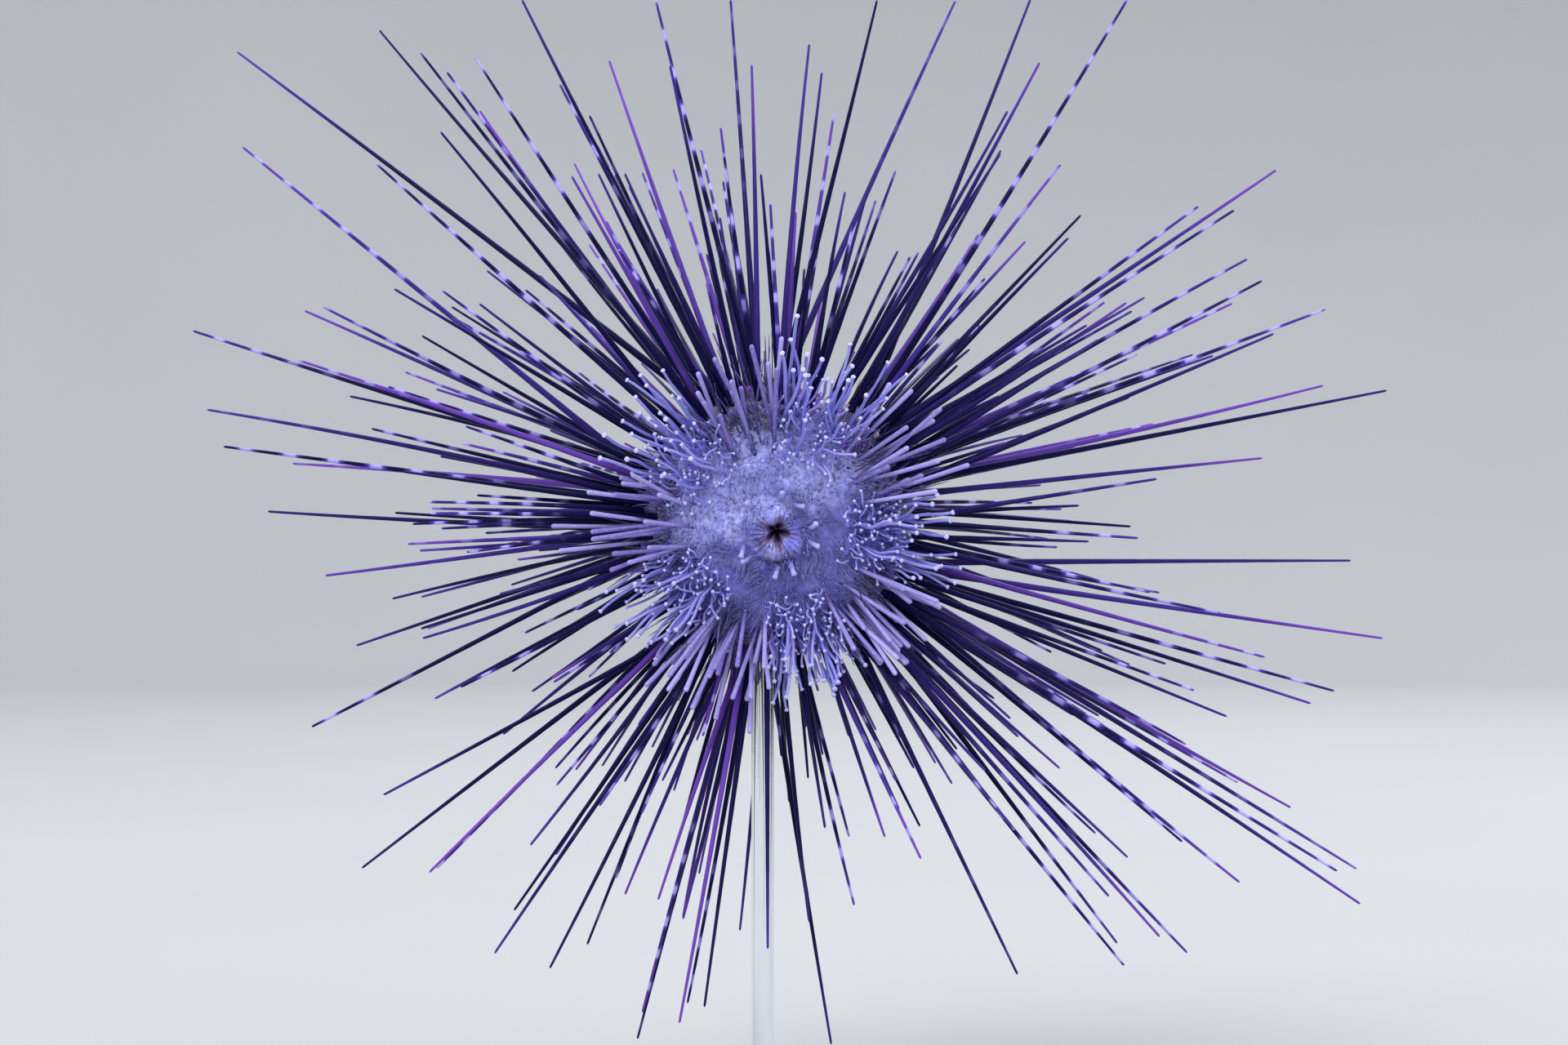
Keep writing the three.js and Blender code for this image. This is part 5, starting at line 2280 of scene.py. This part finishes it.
@dataclass
class Stand:
    """The display stand: a turned base and a clear rod."""

    radius: float = 75.0
    thickness: float = 8.0
    bevel: float = 1.2
    rod: float = 2.5
    rod_ease: float = 0.25
    rod_sides: int = 48
    gap: float = 0.3
    sunk: float = 1.0
    sides: int = 160
    rim: float = 0.5
    inner_ring: float = 4.0
    bevel_angles: Row = (0, 22.5, 45, 67.5, 90)
    rod_shares: Row = (0.25, 0.5, 0.75)

    @staticmethod
    def turned(name: str, profile: list[tuple[float, float]], sides: int) -> bpy.types.Object:
        """Turns a profile about the stand's axis.

        Args:
            name: The piece's name.
            profile: Radius and height above the floor of each ring, from the lowest on.
            sides: Points in a ring.

        Returns:
            The object.
        """
        turn = -np.arange(sides) * 360 / sides
        radius, height = (np.array(part)[:, None] for part in zip(*profile))
        wheel = around(radius, turn, height - WORLD.z)
        points = wheel[..., [0, 2, 1]] + (-WORLD.x, 0, WORLD.y)
        ends = np.array([(-WORLD.x, height[end, 0] - WORLD.z, WORLD.y) for end in (0, -1)])
        return Rings(name, points[None], ends[None], strips(1, 1)).build()

    def build(self) -> None:
        """Makes the base and the rod."""
        corner = [math.radians(angle) for angle in self.bevel_angles]
        inner, low, high = self.radius - self.bevel, self.bevel, self.thickness - self.bevel
        edge = [(inner + self.bevel * math.sin(a), low - self.bevel * math.cos(a)) for a in corner]
        edge += [(inner + self.bevel * math.cos(a), high + self.bevel * math.sin(a)) for a in corner]
        rim = inner - self.rim
        profile = [(rim, 0.0), *edge, (rim, self.thickness), (self.inner_ring, self.thickness)]
        base = self.turned("stand_disc", profile, self.sides)
        fit(base, StandFinish().base(), Slot.BASE, "stand_base")
        foot, top = self.thickness + self.gap, WORLD.z - SHELL.radius + self.sunk
        ease = self.rod_ease
        column = [(self.rod - ease, foot), (self.rod, foot + ease), (self.rod, foot + 2 * ease)]
        column += [(self.rod, between((foot, top), share)) for share in self.rod_shares]
        column += [(self.rod, top - ease), (self.rod, top)]
        fit(self.turned("stand_pin", column, self.rod_sides), StandFinish().rod(), Slot.ROD, "stand_rod")


@dataclass(frozen=True)
class Lamp:
    """A soft square light: where it stands and its side, in metres, and its power in watts."""

    name: str
    place: tuple[float, float, float]
    size: float
    power: float


@dataclass
class Studio:
    """The camera, the pale floor and backdrop, and the soft lights."""

    distance: float = 800.0
    lens: float = 82.5
    shift_right: float = 1.8
    shift_up: float = -0.5
    floor_radius: float = 2.3
    bend: float = 0.9
    top: float = 2.4
    turn_step: int = 5
    floor_shares: Row = (0.25, 0.5, 0.75)
    sensor: float = 36.0
    lamps: tuple[Lamp, ...] = (
        Lamp("key", (-1.1, -1.9, 2.1), 1.4, 58),
        Lamp("fill", (2.0, -1.9, 1.3), 1.6, 20),
        Lamp("back", (0.8, 1.5, 2.0), 1.5, 32),
    )
    room: Colour = (0.86, 0.88, 0.95, 1)
    room_light: float = 0.9

    def camera(self) -> None:
        """Sets the camera in front of the mouth side."""
        data = bpy.data.cameras.new("view")
        data.lens = self.lens
        data.sensor_width = self.sensor
        eye = bpy.data.objects.new("view", data)
        eye.location = Vector(WORLD.place(np.array([self.shift_right, self.shift_up, self.distance])))
        eye.rotation_euler = (math.radians(90), 0, 0)
        bpy.context.scene.collection.objects.link(eye)
        bpy.context.scene.camera = eye

    def backdrop(self) -> None:
        """Turns a round floor that sweeps up into a wall all round."""
        line = [(share * self.floor_radius, 0.0) for share in self.floor_shares]
        for angle in range(0, 91, self.turn_step):
            out, rise = math.sin(math.radians(angle)), 1 - math.cos(math.radians(angle))
            line.append((self.floor_radius + self.bend * out, self.bend * rise))
        line.append((self.floor_radius + self.bend, self.top))
        sides = 360 // self.turn_step
        turns = [math.radians(side * self.turn_step) for side in range(sides)]
        points = [(0.0, 0.0, 0.0)]
        points += [(r * math.cos(turn), r * math.sin(turn), z) for r, z in line for turn in turns]
        faces = [(0, 1 + side, 1 + (side + 1) % sides) for side in range(sides)]
        for ring, side in itertools.product(range(len(line) - 1), range(sides)):
            here, after = 1 + ring * sides + side, 1 + ring * sides + (side + 1) % sides
            faces.append((here, here + sides, after + sides, after))
        mesh = bpy.data.meshes.new("backdrop")
        mesh.from_pydata(points, [], faces)
        mesh.shade_smooth()
        mesh.materials.append(StudioFinish().material())
        sheet = bpy.data.objects.new("backdrop", mesh)
        bpy.context.scene.collection.objects.link(sheet)
        sheet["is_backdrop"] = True

    @staticmethod
    def light(lamp: Lamp) -> None:
        """Adds a light that looks at the animal.

        Args:
            lamp: The light.
        """
        data = bpy.data.lights.new(lamp.name, "AREA")
        data.size = lamp.size
        data.energy = lamp.power
        thing = bpy.data.objects.new(lamp.name, data)
        thing.location = lamp.place
        thing.visible_camera = False
        target = Vector((WORLD.x, WORLD.y, WORLD.z)) * METRES
        thing.rotation_euler = (target - Vector(lamp.place)).to_track_quat("-Z", "Y").to_euler()
        bpy.context.scene.collection.objects.link(thing)

    def build(self) -> None:
        """Makes the studio."""
        self.camera()
        self.backdrop()
        for lamp in self.lamps:
            self.light(lamp)
        world = bpy.data.worlds.new("room")
        bpy.context.scene.world = world
        world.use_nodes = True
        background = world.node_tree.nodes["Background"]
        background.inputs["Color"].default_value = self.room
        background.inputs["Strength"].default_value = self.room_light
        bpy.context.scene.view_settings.view_transform = "Standard"


def write_sizes() -> None:
    """Works out the box of the solids and that of the dressed model."""
    boxes = {"cad": CAD_BOX, "visual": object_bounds()}
    plain = {name: [[float(value) for value in corner] for corner in box] for name, box in boxes.items()}


def main() -> None:
    """Builds the studio, grows the animal and sets it on its stand."""
    logging.basicConfig(level=logging.INFO, format="%(name)s: %(message)s")
    Studio().build()
    thicket = Thicket()
    spines = thicket.long_spines()
    feet = thicket.tube_feet()
    short_spines = thicket.short_spines()
    log.info("as in the solids: %d long, %d feet, %d short", len(spines), len(feet), len(short_spines))
    feet += thicket.further(FURTHER_FEET, thicket.foot)
    feet += thicket.further(NEAR_FEET, thicket.near_foot)
    short_spines += thicket.further(FURTHER_SHORT, thicket.short_spine)
    spines += thicket.further(FURTHER_LONG, thicket.further_spine)
    log.info("in all: %d long, %d feet, %d short", len(spines), len(feet), len(short_spines))
    skin = Skin()
    skin.build(spines, short_spines, feet)
    LongSpines().build(spines)
    ShortSpines().build(short_spines)
    TubeFeet().build(feet)
    MouthFeet().build()
    spine_nodes = fields_of("interambulacrum")
    HAIRS.build(skin, PALE_FINISH, Slot.MEMBRANE, ["peristome"])
    PAPILLAE.build(skin, PALE_FINISH, Slot.MEMBRANE, ["peristome"])
    FINE_SPINES.build(skin, DARK_FINISH, Slot.SPINES, spine_nodes)
    DOTS.build(skin, DOT_FINISH, Slot.SPINES, spine_nodes)
    CONE_PAPILLAE.build(skin, CONE_FINISH, Slot.CONE, ["anal_cone"])
    Stand().build()
    write_sizes()


if __name__ == "__main__":
    main()
